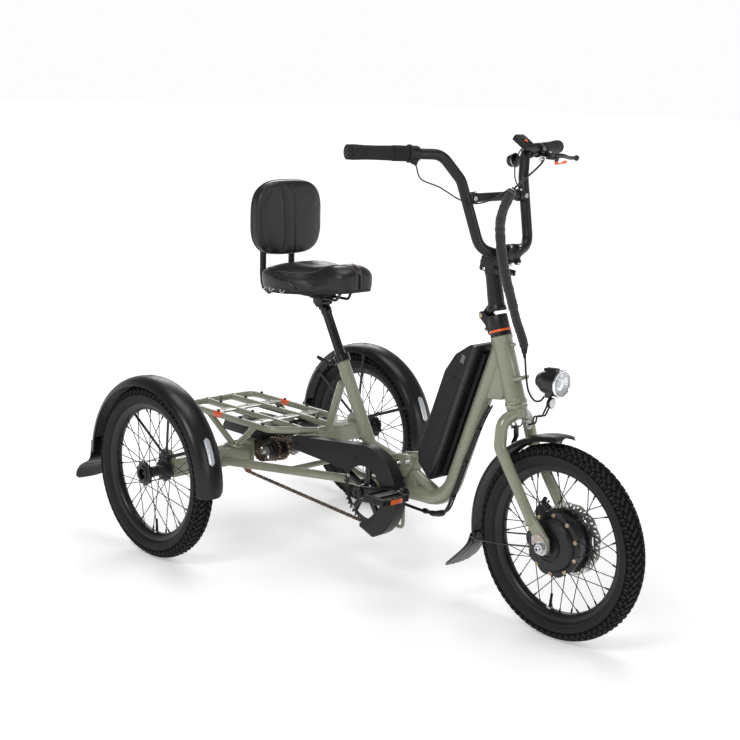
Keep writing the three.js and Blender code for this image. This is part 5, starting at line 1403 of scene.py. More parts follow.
piece("fold_pin", "steerer", BRASS, hex_bolt(FOLD + Y * -16.6, -Y, 6.4, 3.6),
      hex_bolt(FOLD + Y * 16.6, Y, 6.4, 3.6), cap_bolt((-252, -12, 720), (-0.9, -0.3, -0.3), 4, 3))

CLAMP_AT = vec(-205, 0, 908)
MAST_LOW, MAST_HIGH = vec(-231, 0, 773), vec(-247, 0, 850)
MAST_UP = unit(MAST_HIGH - MAST_LOW)
mast_parts = [turn_solid([(0, -6), (23.4, -6), (24, -5), (24, 0), (22.6, 4), (20.6, 8), (20.6, 14),
                          (20, 14.8), (20, 17), (20.6, 17.8),
                          (19.4, 50), (18.6, 80), (18.8, 84), (20, 86), (20, 97), (0, 97)], MAST_LOW,
                          MAST_UP, 72),
              soften(block((-252, 0, 878), (46, 42, 38), 0.2), 6, 4),
              soften(block((-230, 0, 895), (46, 40, 30), 0.2), 5, 4),
              turn([(12.9, -25), (21, -25), (23.5, -22.5), (23.5, -6), (21.5, -4), (21.5, 4), (23.5, 6),
                    (23.5, 22.5), (21, 25), (12.9, 25)],
                   CLAMP_AT, Y, 56),
              soften(plate(hull((FOLD[0], FOLD[2], 8.6), (-252, 775, 5), (-238, 772, 4)), -7, 7), 1.5, 3)]
for side in (-1, 1):
    mast_parts += [soften(block((-216, side * 16, 864), (48, 5, 14), 0.1), 1.6),
                   soften(block(CLAMP_AT + vec(17, side * 16, 16), (15, 13, 15), 0.75), 3),
                   soften(block(CLAMP_AT + vec(17, side * 16, -16), (15, 13, 15), -0.75), 3)]
piece("mast_body", "mast", SATIN, mast_parts, replaces=["stem_mast"])
stem_bolts = [cap_bolt((-274.5, side * 12, 874 + up), (-0.98, 0, -0.2), 4.6, 4) for side in (-1, 1)
              for up in (-8, 10)]
stem_bolts += [cap_bolt(CLAMP_AT + vec(22, side * 16, up * 21), unit(vec(0.7, 0, up)), 4.2, 4)
               for side in (-1, 1) for up in (-1, 1)]
stem_bolts += [cap_bolt((-258, side * 21, 868), Y * side, 4, 2.6) for side in (-1, 1)]
piece("stem_bolts", "mast", STEEL, stem_bolts)
LATCH = at_joint("latch_open")
latch_line = even([LATCH + vec(2, 0, 4), LATCH + vec(4, 0, -20), (-193, 0, 818), (-186.5, 0, 790)], 20)
piece("latch_lever", "latch", GLOSS,
      tube(latch_line, np.interp(np.linspace(0, 1, 20), [0, 0.12, 0.9, 1], [5.5, 6.5, 6.2, 4]), 24,
      squeeze=lambda t: (1.0, 0.62)), rod(LATCH - Y * 13, LATCH + Y * 13, 6, sides=32, chamfer=1),
      replaces=["fold_latch"])
piece("latch_pins", "latch", STEEL,
      [cap_bolt(LATCH + Y * side * 12.6, Y * side, 3.4, 1.8) for side in (-1, 1)])

# ---- handlebar -----------------------------------------------------------------------------------------
GRIP_TIP, BEND = vec(-372, 374, 1146), vec(-292, 150, 1141)
ALONG = unit(BEND - GRIP_TIP)


def mirror(point, side):
    """The point on the other side of the middle plane when side is -1."""
    return np.asarray(point, float) * vec(1, side, 1)


def on_bar(side, distance):
    """A point on the handlebar's grip, measured from its tip."""
    return mirror(GRIP_TIP + ALONG * distance, side)


half_bar = [GRIP_TIP, BEND, vec(-262, 112, 1082), vec(-217, 88, 925), vec(-205, 34, 908)]
bar_path = even(bent([mirror(p, -1) for p in half_bar] + half_bar[::-1], 46, 16), 200)
piece("bar_tube", "mast", SATIN, tube(bar_path, 12.7, 36), replaces=["handlebar"])
lugs, lug_bolts = [rod((-249, -97, 1041), (-249, 97, 1041), 10.8, sides=36)], []
for side in (-1, 1):
    lugs += [turn([(9, -6), (13.6, -6), (14.4, -5), (14.4, 5), (13.6, 6), (9, 6)], (-249, side * 82, 1041),
                  Y, 40),
             soften(block((-246, side * 95, 1041), (22, 16, 24), 0.2), 6, 4),
             weld(((-249, side * 60, 1041), (0, side, 0)), 10.8,
                  ((-249, side * 99, 1041), unit(vec(-0.1, 0.12, 1))), 13.6, 1.6)]
    lug_bolts += [cap_bolt((-234.4, side * 92, 1041), (1, 0, 0.1), 5.4, 3.6),
                  cap_bolt((-243, side * 82, 1054.4), (0.2, 0, 1), 3.6, 2.6)]
piece("crossbar", "mast", SATIN, lugs)
piece("crossbar_bolts", "mast", STEEL, lug_bolts)


def bar_turn(side, profile, sides=48, lobes=None, solid=True):
    """A shape turned round the handlebar, its profile measured from the bar's tip."""
    maker = turn_solid if solid else turn
    return maker(profile, on_bar(side, 0), mirror(ALONG, side), sides, lobes)


def twisted(side, start, end, radius, flutes, depth, lead):
    """A fluted sleeve on the bar whose flutes run at a slant."""
    axis = mirror(ALONG, side)
    first, second = across(axis)
    rings = []
    for d in np.linspace(start, end, 22):
        edge = 0.0 if d - start < 3 or end - d < 3 else depth
        ring = []
        for a in np.linspace(0, 2 * math.pi, 140, endpoint=False):
            r = radius + edge * (1 if math.cos(flutes * a + lead * (d - start)) > 0.2 else -0.6)
            ring.append(on_bar(side, d) + first * r * math.cos(a) + second * r * math.sin(a))
        rings.append(ring)
    return loft(rings)


for SIDE, LABEL, LENGTH in ((-1, "right", 112), (1, "left", 122)):
    grip_profile = [(0, -4), (14.6, -4), (16.4, -3), (17.2, -1.4), (17.2, 3), (16.2, 4), (16.2, 5.4),
                    (17.4, 6.4), (17.6, 16),
                    (16.4, 40), (16.2, 70), (16.8, 96), (17, LENGTH - 8), (16.2, LENGTH - 7.4),
                    (16.2, LENGTH - 6), (17.2, LENGTH - 5.2),
                    (17.2, LENGTH - 0.4), (13.2, LENGTH), (0, LENGTH)]
    piece(f"grip_sleeve_{LABEL}", "mast", RUBBER,
          bar_turn(SIDE, grip_profile, 144, lambda a, r: r + (0.22 * math.cos(48 * a)
                  if 16.1 < r < 17.7 else 0)), replaces=[f"grip_{LABEL}"])
piece("throttle_sleeve", "twist_throttle", RUBBER, twisted(-1, 113, 150, 17.4, 16, 0.8, 0.13),
      bar_turn(-1, [(13.2, 112.6), (18.4, 112.6), (18.4, 115), (13.2, 115)], 64, solid=False),
      replaces=["throttle"])
EXIT = on_bar(-1, 161) + vec(9, 0, -22)
housing = [bar_turn(-1, [(13.1, 150.6), (20.6, 150.6), (21.4, 151.6), (21.4, 157), (20.4, 158.4),
                         (18.8, 159.4), (18.8, 172), (17.6, 176.6),
                         (16, 178), (13.1, 178)], 64, solid=False),
           soften(block(on_bar(-1, 160) + vec(8, 0, -15), (17, 17, 15), 0.4), 4, 4),
           rod(EXIT + vec(-2, 0, 6), EXIT + vec(3, 3, -4), 4.6, 3.4)]
piece("throttle_case", "mast", PLASTIC, housing, replaces=["throttle_housing"])
piece("throttle_screws", "mast", DARK_STEEL,
      [cap_bolt(on_bar(-1, 167) + vec(17.6, 0, 3), (1, 0, 0.2), 2.6, 1.6)], slot="black_satin")

# ---- brake lever ---------------------------------------------------------------------------------------
PIVOT = at_joint("brake_squeeze")
TIP = vec(-285, 345, 1123)
lever_line = even(smooth_path([PIVOT + vec(-2, -4, 0), PIVOT + vec(4, 14, 0), PIVOT + vec(5, 48, -1.5),
                               TIP + vec(2, -30, 1), TIP], 30), 30)
lever_parts = [tube(lever_line, np.interp(np.linspace(0, 1, 30), [0, 0.1, 0.5, 0.9, 1],
                                          [6.4, 6.6, 5.6, 4.6, 4.4]), 28,
                    squeeze=lambda t: (0.55, 1.0)),
               turn_solid([(0, -8), (3.4, -7.4), (6.3, -4.9), (8, 0), (6.3, 4.9), (3.4, 7.4), (0, 8)], TIP,
                          Y, 36),
               turn_solid([(0, -7.6), (2.6, -7.6), (2.6, -3.2), (8, -3.2), (8, 3.2), (2.6, 3.2), (2.6, 7.6),
                           (0, 7.6)], PIVOT, (0, 0, 1), 36)]
piece("lever_blade", "lever", GLOSS, lever_parts, replaces=["brake_lever"])
bracket_parts = [bar_turn(1, [(13, 133.6), (17.4, 133.6), (18.4, 134.6), (18.4, 157.4), (17.4, 158.4),
                              (13, 158.4)], 56, solid=False),
                 tube(even([on_bar(1, 146) + vec(10, 0, -5), PIVOT + vec(-16, 0, 3.4),
                            PIVOT + vec(-8, 0, 7)], 12), 8.4, 24, squeeze=lambda t: (1, 0.85)),
                 turn([(3.2, 4), (11, 4), (11.6, 4.8), (11.6, 7.6), (10.6, 8.6), (3.2, 8.6)], PIVOT,
                      (0, 0, 1), 40),
                 turn([(3.2, -8.6), (10.6, -8.6), (11.4, -7.8), (11.4, -4), (3.2, -4)], PIVOT, (0, 0, 1),
                      40),
                 soften(block(PIVOT + vec(4, 9, -7.7), (17, 26, 4.6)), 1.6),
                 rod(PIVOT + vec(8, 16, -13.6), PIVOT + vec(8, 16, -7), 5.4, sides=24),
                 soften(block(PIVOT + vec(-15, -6, 3), (14, 18, 12), 0.2), 3, 3)]
piece("lever_bracket", "mast", GLOSS, bracket_parts, replaces=["brake_mount"])
ADJUST = PIVOT + vec(-12, -12, -9)
ADJUST_OUT = unit(vec(0.26, -0.93, -0.2))
piece("lever_adjuster", "mast", STEEL,
      turn_solid([(0, 0), (5, 0), (5, 5), (6.6, 6), (6.6, 12), (5.4, 13), (4, 17), (3.2, 20), (0, 20)],
                 ADJUST,
      ADJUST_OUT, 40, lambda a, r: r + (0.3 * math.cos(20 * a) if r > 6.5 else 0)),
      cap_bolt(PIVOT + vec(0, 0, 8.4), (0, 0, 1), 4.4, 2))
LOCK = at_joint("parking_lock_turn")
lock_line = even([LOCK + vec(0, 0, -2.4), LOCK + vec(2, 12, -2), LOCK + vec(5, 24, 1.5),
                  LOCK + vec(6, 31, 3)], 20)
piece("lock_lever", "lock", ORANGE,
      tube(lock_line, np.interp(np.linspace(0, 1, 20), [0, 0.5, 0.72, 0.9, 1], [2.6, 2.2, 4.8, 5.4, 4]), 20,
      squeeze=lambda t: (1, 0.75)), turn_solid([(0, -4), (5, -4), (5, 4), (0, 4)], LOCK, (0, 0, 1), 32),
      replaces=["parking_lock"])

# ---- display and bell ----------------------------------------------------------------------------------
SCREEN, TILT = vec(-297, 152, 1163), 0.55
screen_up = vec(math.sin(TILT), 0, math.cos(TILT))
case = [soften(block(SCREEN, (52, 40, 14), TILT), 3.4, 4),
        bar_turn(1, [(13.2, 205.6), (16.8, 205.6), (17.4, 206.4), (17.4, 221.6), (16.8, 222.4),
                     (13.2, 222.4)], 56, solid=False),
        soften(block(on_bar(1, 214) + vec(3, -4, 14), (14, 13, 18), 0.3), 3, 3)]
piece("display_case", "mast", PLASTIC, case, replaces=["display"])
piece("display_glass", "mast", GLASS,
      soften(block(SCREEN + screen_up * 7.1 + vec(-14, 0, 8.6), (20, 32, 1.2), TILT), 0.5))
piece("display_clamp_screw", "mast", STEEL, cap_bolt(on_bar(1, 214) + vec(15, -4, 4), (1, 0, -0.2), 3, 2))
piece("power_key", "button", ORANGE,
      turn_solid([(0, -3), (4.7, -3), (4.8, 1.6), (4.2, 2.5), (3.2, 2.2), (0, 2.0)],
                 SCREEN + screen_up * 6.6 + vec(0.5, 0, -0.2),
      screen_up, 40), replaces=["power_button"])
BELL_OUT = unit(vec(-0.988, 0, -0.152))
bell_profile = [(0, 13.2), (5, 12.8), (11, 10.6), (15.4, 6.4), (17.4, 0), (17.9, -6), (18.2, -9.6),
                (17.2, -10.4), (12, -12.6), (5, -13), (0, -13)]
piece("bell_dome", "mast", GLOSS, turn_solid(bell_profile, (-331, 148, 1118), BELL_OUT, 64),
      rod((-296, 150, 1130), (-322, 148, 1119), 6, 5), replaces=["bell"])
piece("bell_rim", "mast", STEEL, turn([(16.6, -10.8), (18.4, -10.8), (18.4, -9.8), (16.6, -9.8)],
                                      (-331, 148, 1118), BELL_OUT, 64))

# ---- headlight -----------------------------------------------------------------------------------------
X = vec(1, 0, 0)
LAMP = vec(0, 0, 622)
shell = [(0, -90), (12, -89), (18, -86), (21, -80), (26, -72), (29.6, -66), (31.4, -50), (32.4, -30),
         (33, -22), (32.6, -20), (31.4, -20), (30.4, -36), (0, -38)]
ribs = [soften(block((-66 + k * 7, 0, 622 + 29.6 + k * 0.45), (2.6, 26 - abs(k - 2) * 2, 6), 0.05), 1)
        for k in range(5)]
piece("lamp_shell", "lamp", GLOSS, turn_solid(shell, LAMP, X, 72), ribs,
      soften(block((-58, 0, 590), (16, 12, 15)), 2.4), replaces=["headlight"])
piece("lamp_bezel", "lamp", CHROME,
      turn([(28.6, -22), (31.6, -22), (33.2, -20.6), (33.4, -18.6), (31.8, -17), (29.4, -17.4),
            (28.6, -19)], LAMP, X, 72))
bowl = [(0, -38), (9, -37), (17, -34), (24, -29), (28.8, -22.4), (29, -21.6), (28, -21.6), (23.4, -28),
        (16.6, -32.6), (9, -35.4), (0, -36.4)]
piece("lamp_bowl", "lamp", CHROME,
      turn_solid(bowl, LAMP, X, 96, lambda a, r: r + (0.5 * math.cos(24 * a) if 8 < r < 28.5 else 0)))
piece("lamp_heart", "lamp", WHITE_REFLECTOR,
      turn_solid([(0, -36), (7.6, -36), (8, -30), (6, -27), (0, -26)], LAMP, X, 40),
      [soften(block(LAMP + vec(-31, 0, z), (2, 34, 1.6)), 0.4) for z in (-9, 9)])
piece("lamp_glass", "lamp", LENS, turn_solid([(0, -20.6), (29.4, -21.6), (29.4, -19.6), (24, -17.6),
                                              (12, -16), (0, -15.6)], LAMP, X, 72),
      replaces=["headlight_lens"])
wire = [tube(even(bent([(-114, side * 4, 506), (-97, side * 6, 512), (-93, side * 6, 532),
                        (-69, side * 6, 536), (-55, side * 6, 566)], 9, 8), 50), 2.3, 14)
        for side in (-1, 1)]
piece("lamp_bracket_wires", "steerer", GLOSS, wire, soften(block((-52, 0, 569), (9, 18, 12), 0.3), 2),
      replaces=["headlight_bracket"])
piece("lamp_bracket_bolts", "steerer", STEEL, cap_bolt((-113, 0, 506), (0.94, 0, 0.34), 6.4, 4),
      turn([(4, 0), (11, 0), (11, 1.4), (4, 1.4)], (-114, 0, 505.6),
      (0.94, 0, 0.34), 32))
piece("small_reflector_case", "steerer", PLASTIC,
      turn_solid([(0, -6), (10, -6), (13, -3), (13.2, 4), (12, 5), (0, 5)], (-49, 0, 572), X, 48))
piece("small_reflector", "steerer", WHITE_REFLECTOR,
      turn_solid([(0, 3), (11.6, 3), (11.2, 5.6), (8, 6.6), (0, 7)], (-49, 0, 572), X, 48))

# ---- disc brake ----------------------------------------------------------------------------------------
BRAKE_TURN = -1.08


def from_hub(radius, y):
    """A point of the caliper, measured from the front axle."""
    return vec(radius * math.sin(BRAKE_TURN), y, AXLE[2] + radius * math.cos(BRAKE_TURN))


caliper = [soften(block(from_hub(96, 38.6), (40, 7, 34), BRAKE_TURN), 2.6, 3),
           soften(block(from_hub(96, 51), (40, 8, 34), BRAKE_TURN), 2.6, 3),
           soften(block(from_hub(113, 45), (40, 18, 10), BRAKE_TURN), 2.4, 3),
           rod(from_hub(96, 50), from_hub(96, 57), 12.4, sides=40, chamfer=1.2),
           soften(block(from_hub(118, 54), (52, 9, 9), BRAKE_TURN), 2)]
piece("caliper_body", "steerer", SATIN, caliper, replaces=["brake_caliper"])
piece("caliper_bolts", "steerer", STEEL,
      [cap_bolt(from_hub(112, y) + vec(dx, 0, dz), -Y * (1 if y < 45 else -1), 3.4, 2.4)
      for y, dx, dz in ((35.2, 8, 14), (35.2, -8, -14), (58.6, 12, 16), (58.6, -12, -16))])
piece("caliper_arm_plate", "caliper_lever", STEEL,
      rod(from_hub(96, 57.6), from_hub(96, 62), 7.2, sides=36, chamfer=0.8),
      soften(block(from_hub(108, 60), (8, 3.4, 34), BRAKE_TURN), 1.2),
      cap_bolt(from_hub(122, 61.4), Y, 3.2, 3), replaces=["caliper_arm"])

# ---- seat post -----------------------------------------------------------------------------------------
CLAMP_TOP = vec(-847, 0, 683)
TILT_PIN = at_joint("saddle_tilt")
COLLAR_AT = SEAT_TOP - SEAT_UP * 11
collar = turn([(17.2, -10.5), (21, -10.5), (22, -9.5), (22, 9.5), (21, 10.5), (17.2, 10.5)], COLLAR_AT,
              SEAT_UP, 64)
SKEWER = at_joint("quick_release_open")
ear = [soften(block(COLLAR_AT + vec(-25, s * 7, -13.6), (17, 7, 15), 0.5), 2.4) for s in (-1, 1)]
piece("collar_band", "frame", GLOSS, collar, ear, replaces=["seat_collar"])
lever_run = even(smooth_path([SKEWER + vec(0, -20.5, 0), SKEWER + vec(-12, -24, 4),
                              SKEWER + vec(-30, -29, 10), SKEWER + vec(-40, -30, 13)], 24), 24)
piece("collar_cam", "quick_release", GLOSS,
      tube(lever_run, np.interp(np.linspace(0, 1, 24), [0, 0.3, 0.9, 1], [6.6, 5.2, 5.6, 3.6]), 24,
      squeeze=lambda t: (0.62, 1)), rod(SKEWER - Y * 25, SKEWER - Y * 16.4, 7, sides=36, chamfer=1),
      replaces=["collar_lever"])
piece("collar_skewer", "quick_release", STEEL, rod(SKEWER - Y * 17, SKEWER + Y * 14, 3, sides=24),
      soften(rod(SKEWER + Y * 11, SKEWER + Y * 15.6, 5.6, sides=6), 0.6))
POST_FOOT = SEAT_TOP - SEAT_UP * 92
POST_UP = unit(CLAMP_TOP - POST_FOOT)
reach = np.linalg.norm(CLAMP_TOP - POST_FOOT)
piece("post_tube", "post", GLOSS, turn_solid([(0, 0), (12.6, 0), (13.5, 1), (13.5, reach - 14),
        (15, reach - 9), (15.6, reach - 2), (15, reach + 6), (0, reach + 7)],
      POST_FOOT, POST_UP, 56), rod(TILT_PIN - Y * 17, TILT_PIN + Y * 17, 12.6, sides=48, chamfer=1.6),
      soften(block(CLAMP_TOP + vec(-4, 0, 4), (26, 26, 18), 0.4), 4, 3), replaces=["seat_post"])
piece("post_bolts", "post", STEEL, [cap_bolt(TILT_PIN + Y * s * 16.6, Y * s, 5.4, 3) for s in (-1, 1)])

# ---- cables --------------------------------------------------------------------------------------------
def cable(name, body, route, radius, count, look=CABLE, sides=14, replaces=(),
          slot="black_satin", wrinkles=None, free=True):
    """A cable along the given points."""
    path = smooth_path(route, count)
    radii = radius if wrinkles is None else radius * wrinkles(np.linspace(0, 1, count))
    made = piece(name, body, look, tube(path, radii, sides), slot=slot, replaces=replaces)
    if not free:
        return made
    return made


def creased(t):
    """Small folds along a textile sleeve, which is drawn in at both ends."""
    folds = 0.035 * np.sin(t * 61 + 2.2 * np.sin(t * 17)) + 0.02 * np.sin(t * 131)
    return 1 + folds - 0.12 * (np.exp(-t * 55) + np.exp(-(1 - t) * 55))


SLEEVE = [(-212, 14, 1058), (-213, 4, 1042), (-212, -14, 1016), (-203, -34, 985), (-188, -48, 948),
          (-178, -50, 907), (-169, -44, 858), (-163, -32, 816), (-160, -20, 780)]
BRANCH = [(-159.8, -19.4, 778), (-158, -10, 752), (-152, -4, 730), (-142, -1, 704), (-139, 0, 692)]
LAMP_LEAD = [(-141, 0, 698), (-134, 0, 660), (-128, 0, 620), (-118, 0, 586), (-98, 0, 568), (-80, 0, 572),
             (-71, 0, 583)]
BRAKE_LINE = [(-294, 226, 1121), (-272, 190, 1113), (-250, 140, 1100), (-232, 90, 1086), (-220, 50, 1074),
              (-213, 22, 1062)]
FRAME_LEAD = [(-206, -40, 540), (-232, -34, 500), (-262, -30, 440), (-296, -28, 360), (-324, -26, 290),
              (-352, -22, 236), (-392, -12, 216), (-440, -8, 210), (-520, -8, 212), (-560, -8, 214)]
FOLD_SPAN = ("mast", "steerer", row(SLEEVE[0]), row(SLEEVE[-1]))
cable("sleeve_upper", FOLD_SPAN, SLEEVE, 12, 120, BRAID, 40, ["cable_sleeve"], "sleeve_textile",
      wrinkles=creased)
cable("sleeve_lower", "steerer", BRANCH, 11, 44, BRAID, 40, ["cable_sleeve_lower"],
      "sleeve_textile", wrinkles=creased, free=False)
cable("lamp_lead", "steerer", LAMP_LEAD, 2.5, 60)
cable("brake_line", "mast", BRAKE_LINE, 2.6, 60, replaces=["brake_cable"])
cable("frame_lead", "frame", FRAME_LEAD, 4, 140, replaces=["frame_cables"])
cable("frame_lead_thin", "frame", [mirror(p, 1) + vec(3, 8.5, 1) for p in FRAME_LEAD[:-2]], 2.2, 120)
THROTTLE_LEAD = [EXIT + vec(3, 3, -4), EXIT + vec(8, 14, -34), (-266, -180, 1068), (-238, -140, 1040),
                 (-229, -96, 1030), (-226, -48, 1036), (-222, -8, 1052), (-215, 8, 1062)]
DISPLAY_LEAD = [(-303, 146, 1148), (-306, 132, 1120), (-292, 116, 1078), (-262, 96, 1058), (-238, 58, 1056),
                (-219, 22, 1064)]
cable("throttle_lead", "mast", THROTTLE_LEAD, 1.7, 90)
cable("display_lead", "mast", DISPLAY_LEAD, 1.7, 80)
piece("sleeve_hem_top", "mast", THREAD, tube(smooth_path(SLEEVE, 120)[2:5], 12.6, 30))
seam_side = smooth_path(SLEEVE, 120)[4:-3] + vec(-3.5, -11.2, 0)
piece("sleeve_seam", FOLD_SPAN, THREAD, tube(seam_side, 0.7, 8))
lamp_plug = smooth_path([(-139, 0, 694), (-138.2, 0, 684), (-136, 0, 668), (-134.6, 0, 664)], 20)
piece("lamp_plug", "steerer", PLASTIC,
      tube(lamp_plug, np.interp(np.linspace(0, 1, 20), [0, 0.1, 0.55, 0.6, 1], [8, 8.6, 6.4, 4.4, 3.2]),
           24))
ties = []
lead = smooth_path(FRAME_LEAD, 140)
for along in (0.14, 0.33, 0.52, 0.78, 0.93):
    index = int(along * 139)
    ties.append(tube(lead[index:index + 3] + vec(1, 2.5, 0.5), 7.4, 20))
piece("lead_ties", "frame", GLOSS, ties, slot="case_plastic")
lead_end = lead[88:104]
piece("lead_connector", "frame", PLASTIC,
      tube(lead_end, np.interp(np.linspace(0, 1, 16), [0, 0.12, 0.5, 0.56, 0.88, 1],
                                              [6.4, 8.4, 8.4, 7.4, 7.4, 5.6]), 28))

# ---- seat ----------------------------------------------------------------------------------------------
rails = []
for side in (-1, 1):
    run = bent([(-764, side * 18, 748), (-782, side * 22, 719), (-922, side * 22, 719),
                (-960, side * 34, 727), (-1004, side * 49, 728)], 16, 10)
    rails.append(tube(even(run, 70), 4, 18))
cradle = [soften(block(TILT_PIN + vec(0, 0, 15.5), (46, 58, 5)), 1.6),
          soften(block(TILT_PIN + vec(0, 0, 22), (44, 56, 4)), 1.6)]
cradle += [soften(block(TILT_PIN + vec(x, 0, 18.6), (4, 60, 8)), 1.2) for x in (-16, -8, 0, 8, 16)]
cradle += [soften(block((-1006, 0, 722), (12, 130, 13)), 2.4)]
cradle += [soften(plate([(-878, 702), (-864, 690), (-846, 698), (-842, 716), (-878, 716)], side * 19 - 2,
                        side * 19 + 2), 0.9) for side in (-1, 1)]
piece("seat_rails", "seat", GLOSS, rails, slot="steel_bright")
piece("seat_cradle", "seat", SATIN, cradle, replaces=["saddle_frame"])
backrest_run = [tube(even(bent([(-1024, s * 52, 716), (-1052, s * 52, 728), (-1056, s * 52, 764),
                                (-1056, s * 52, 940)], 30, 10), 50), 9, 32) for s in (-1, 1)]
backrest_run += [rod((-1021, -60, 722), (-1021, 60, 722), 7, sides=28, chamfer=0.8)]
piece("backrest_supports", "seat", SATIN, backrest_run, replaces=["backrest_tubes"])
piece("backrest_bolts", "seat", STEEL, [cap_bolt((-1021, s * 60, 722), Y * s, 5, 3) for s in (-1, 1)] +
      [cap_bolt((-1065, s * 52, z), (-1, 0, 0), 4, 2.4) for s in (-1, 1) for z in (880, 925)])

# ---- saddle and backrest -------------------------------------------------------------------------------
def evaluated(name, mesh, modifier, kind, **settings):
    """Runs one modifier over a mesh and returns the result."""
    holder = bpy.data.objects.new(name, mesh)
    bpy.context.scene.collection.objects.link(holder)
    added = holder.modifiers.new(modifier, kind)
    for key, value in settings.items():
        setattr(added, key, value)
    result = bpy.data.meshes.new_from_object(holder.evaluated_get(bpy.context.evaluated_depsgraph_get()))
    bpy.data.objects.remove(holder)
    return result


def mesh_points(mesh):
    """The vertices of a mesh as an array."""
    flat = np.empty(len(mesh.vertices) * 3)
    mesh.vertices.foreach_get("co", flat)
    return flat.reshape(-1, 3)


CLOTH_FRAMES = 20


def swelled(name, part, cap, hold, voxel=0.0045, pressure=4.0):
    """Remeshes a slightly small shape, blows it up as pressurised cloth sewn down where hold(point) is 1,
    moves no point by more than cap, and subdivides it once."""
    rough = bpy.data.meshes.new(name)
    rough.from_pydata([tuple(p) for p in row(part[0])], [], part[1])
    even_mesh = evaluated(name, rough, "remesh", "REMESH", mode="VOXEL", voxel_size=voxel)
    before = mesh_points(even_mesh)
    if FINE:
        holder = bpy.data.objects.new(name, even_mesh)
        bpy.context.scene.collection.objects.link(holder)
        sewn = holder.vertex_groups.new(name="sewn")
        for index, point in enumerate(before * 1000 - ORIGIN):
            weight = hold(point)
            if weight > 0:
                sewn.add([index], weight, "REPLACE")
        cloth = holder.modifiers.new("cloth", "CLOTH")
        cloth.settings.use_pressure = True
        cloth.settings.uniform_pressure_force = pressure
        cloth.settings.effector_weights.gravity = 0
        cloth.settings.vertex_group_mass = "sewn"
        cloth.settings.bending_stiffness = 4
        cloth.settings.tension_stiffness = 30
        cloth.settings.compression_stiffness = 30
        for frame_number in range(1, CLOTH_FRAMES + 1):
            bpy.context.scene.frame_set(frame_number)
        swollen = bpy.data.meshes.new_from_object(holder.evaluated_get(bpy.context.evaluated_depsgraph_get()))
        after = mesh_points(swollen)
        bpy.data.objects.remove(holder)
        bpy.context.scene.frame_set(1)
        moved = after - before
        length = np.linalg.norm(moved, axis=1, keepdims=True)
        before = before + moved * np.minimum(1, cap / 1000 / np.maximum(length, 1e-9))
        even_mesh.vertices.foreach_set("co", before.ravel())
        even_mesh.update()
    settled = evaluated(name, even_mesh, "settle", "SMOOTH", factor=0.5, iterations=5)
    smooth = evaluated(name, settled, "smooth", "SUBSURF", levels=1)
    return mesh_points(smooth) * 1000 - ORIGIN, smooth


def pressed(points, mesh, channels):
    """Sinks the surface along channels given as (line, width, depth)."""
    normals = np.empty(len(mesh.vertices) * 3)
    mesh.vertices.foreach_get("normal", normals)
    normals = normals.reshape(-1, 3)
    for line, width, depth in channels:
        near = np.full(len(points), 1e9)
        for p in line:
            near = np.minimum(near, np.linalg.norm(points - p, axis=1))
        points = points - normals * (depth * np.exp(-(near / width) ** 2))[:, None]
    faces = [list(face.vertices) for face in mesh.polygons]
    return points, faces, None


def laid_on(surface, line, lift=0.0):
    """Drops a line onto the nearest places of a surface."""
    tree = BVHTree.FromPolygons([tuple(p) for p in surface[0]], surface[1])
    out = []
    for p in line:
        place, normal, _, _ = tree.find_nearest(Vector(p))
        out.append(np.array(place) + np.array(normal) * lift)
    return thinned(out)


def cast_line(surface, points, direction, count):
    """A smooth line on a surface, found by looking along a direction from each point."""
    tree = BVHTree.FromPolygons([tuple(p) for p in surface[0]], surface[1])
    found = [tree.ray_cast(Vector(p), Vector(direction))[0] for p in smooth_path(points, count)]
    return thinned([np.array(place) for place in found if place])


# The saddle along its length, as (x, value): half-width, then the heights of its edge, crown and underside.
PLAN = [(-1008, 58), (-1003, 88), (-994, 106), (-978, 120), (-950, 128), (-905, 129), (-850, 114),
        (-805, 91), (-768, 76), (-740, 67), (-727, 59), (-719, 49), (-714, 33)]
EDGE = [(-1008, 784), (-985, 792), (-930, 791), (-870, 784), (-825, 782), (-780, 795), (-750, 803),
        (-732, 800), (-714, 790)]
CROWN = [(-1008, 790), (-960, 799), (-900, 798), (-850, 801), (-800, 812), (-760, 818), (-740, 815),
         (-724, 808), (-714, 796)]
FLOOR_LINE = [(-1008, 732), (-930, 732), (-850, 736), (-780, 743), (-714, 750)]
CURVES = {}


def bowed(table, x):
    """Reads a table of (x, value) along a smooth curve."""
    key = tuple(table)
    if key not in CURVES:
        CURVES[key] = smooth_path([(a, b, 0) for a, b in table], 160)
    return float(np.interp(x, CURVES[key][:, 0], CURVES[key][:, 1]))


def thinned(points):
    """Leaves out points that fall on the one before."""
    kept = [points[0]]
    for p in points[1:]:
        if np.linalg.norm(p - kept[-1]) > 0.6:
            kept.append(p)
    return np.array(kept)


def saddle_ring(x):
    """The saddle's outline at one place along its length."""
    half, edge, top, low = (bowed(table, x) for table in (PLAN, EDGE, CROWN, FLOOR_LINE))
    ring = []
    for a in np.linspace(0, 2 * math.pi, 72, endpoint=False):
        c, s = math.cos(a), math.sin(a)
        across_it = math.copysign(abs(c) ** 0.42, c)
        up_it = math.copysign(abs(s) ** (0.42 if s > 0 else 0.2), s)
        height = (edge + low) / 2 + up_it * (edge - low) / 2
        crown = (top - edge) * (1 - across_it * across_it) if s > 0 else 0
        tuck = 0.95 + 0.05 * min(1, max(0, (height - low) / 40))
        ring.append((x, across_it * half * tuck, height + crown))
    return ring


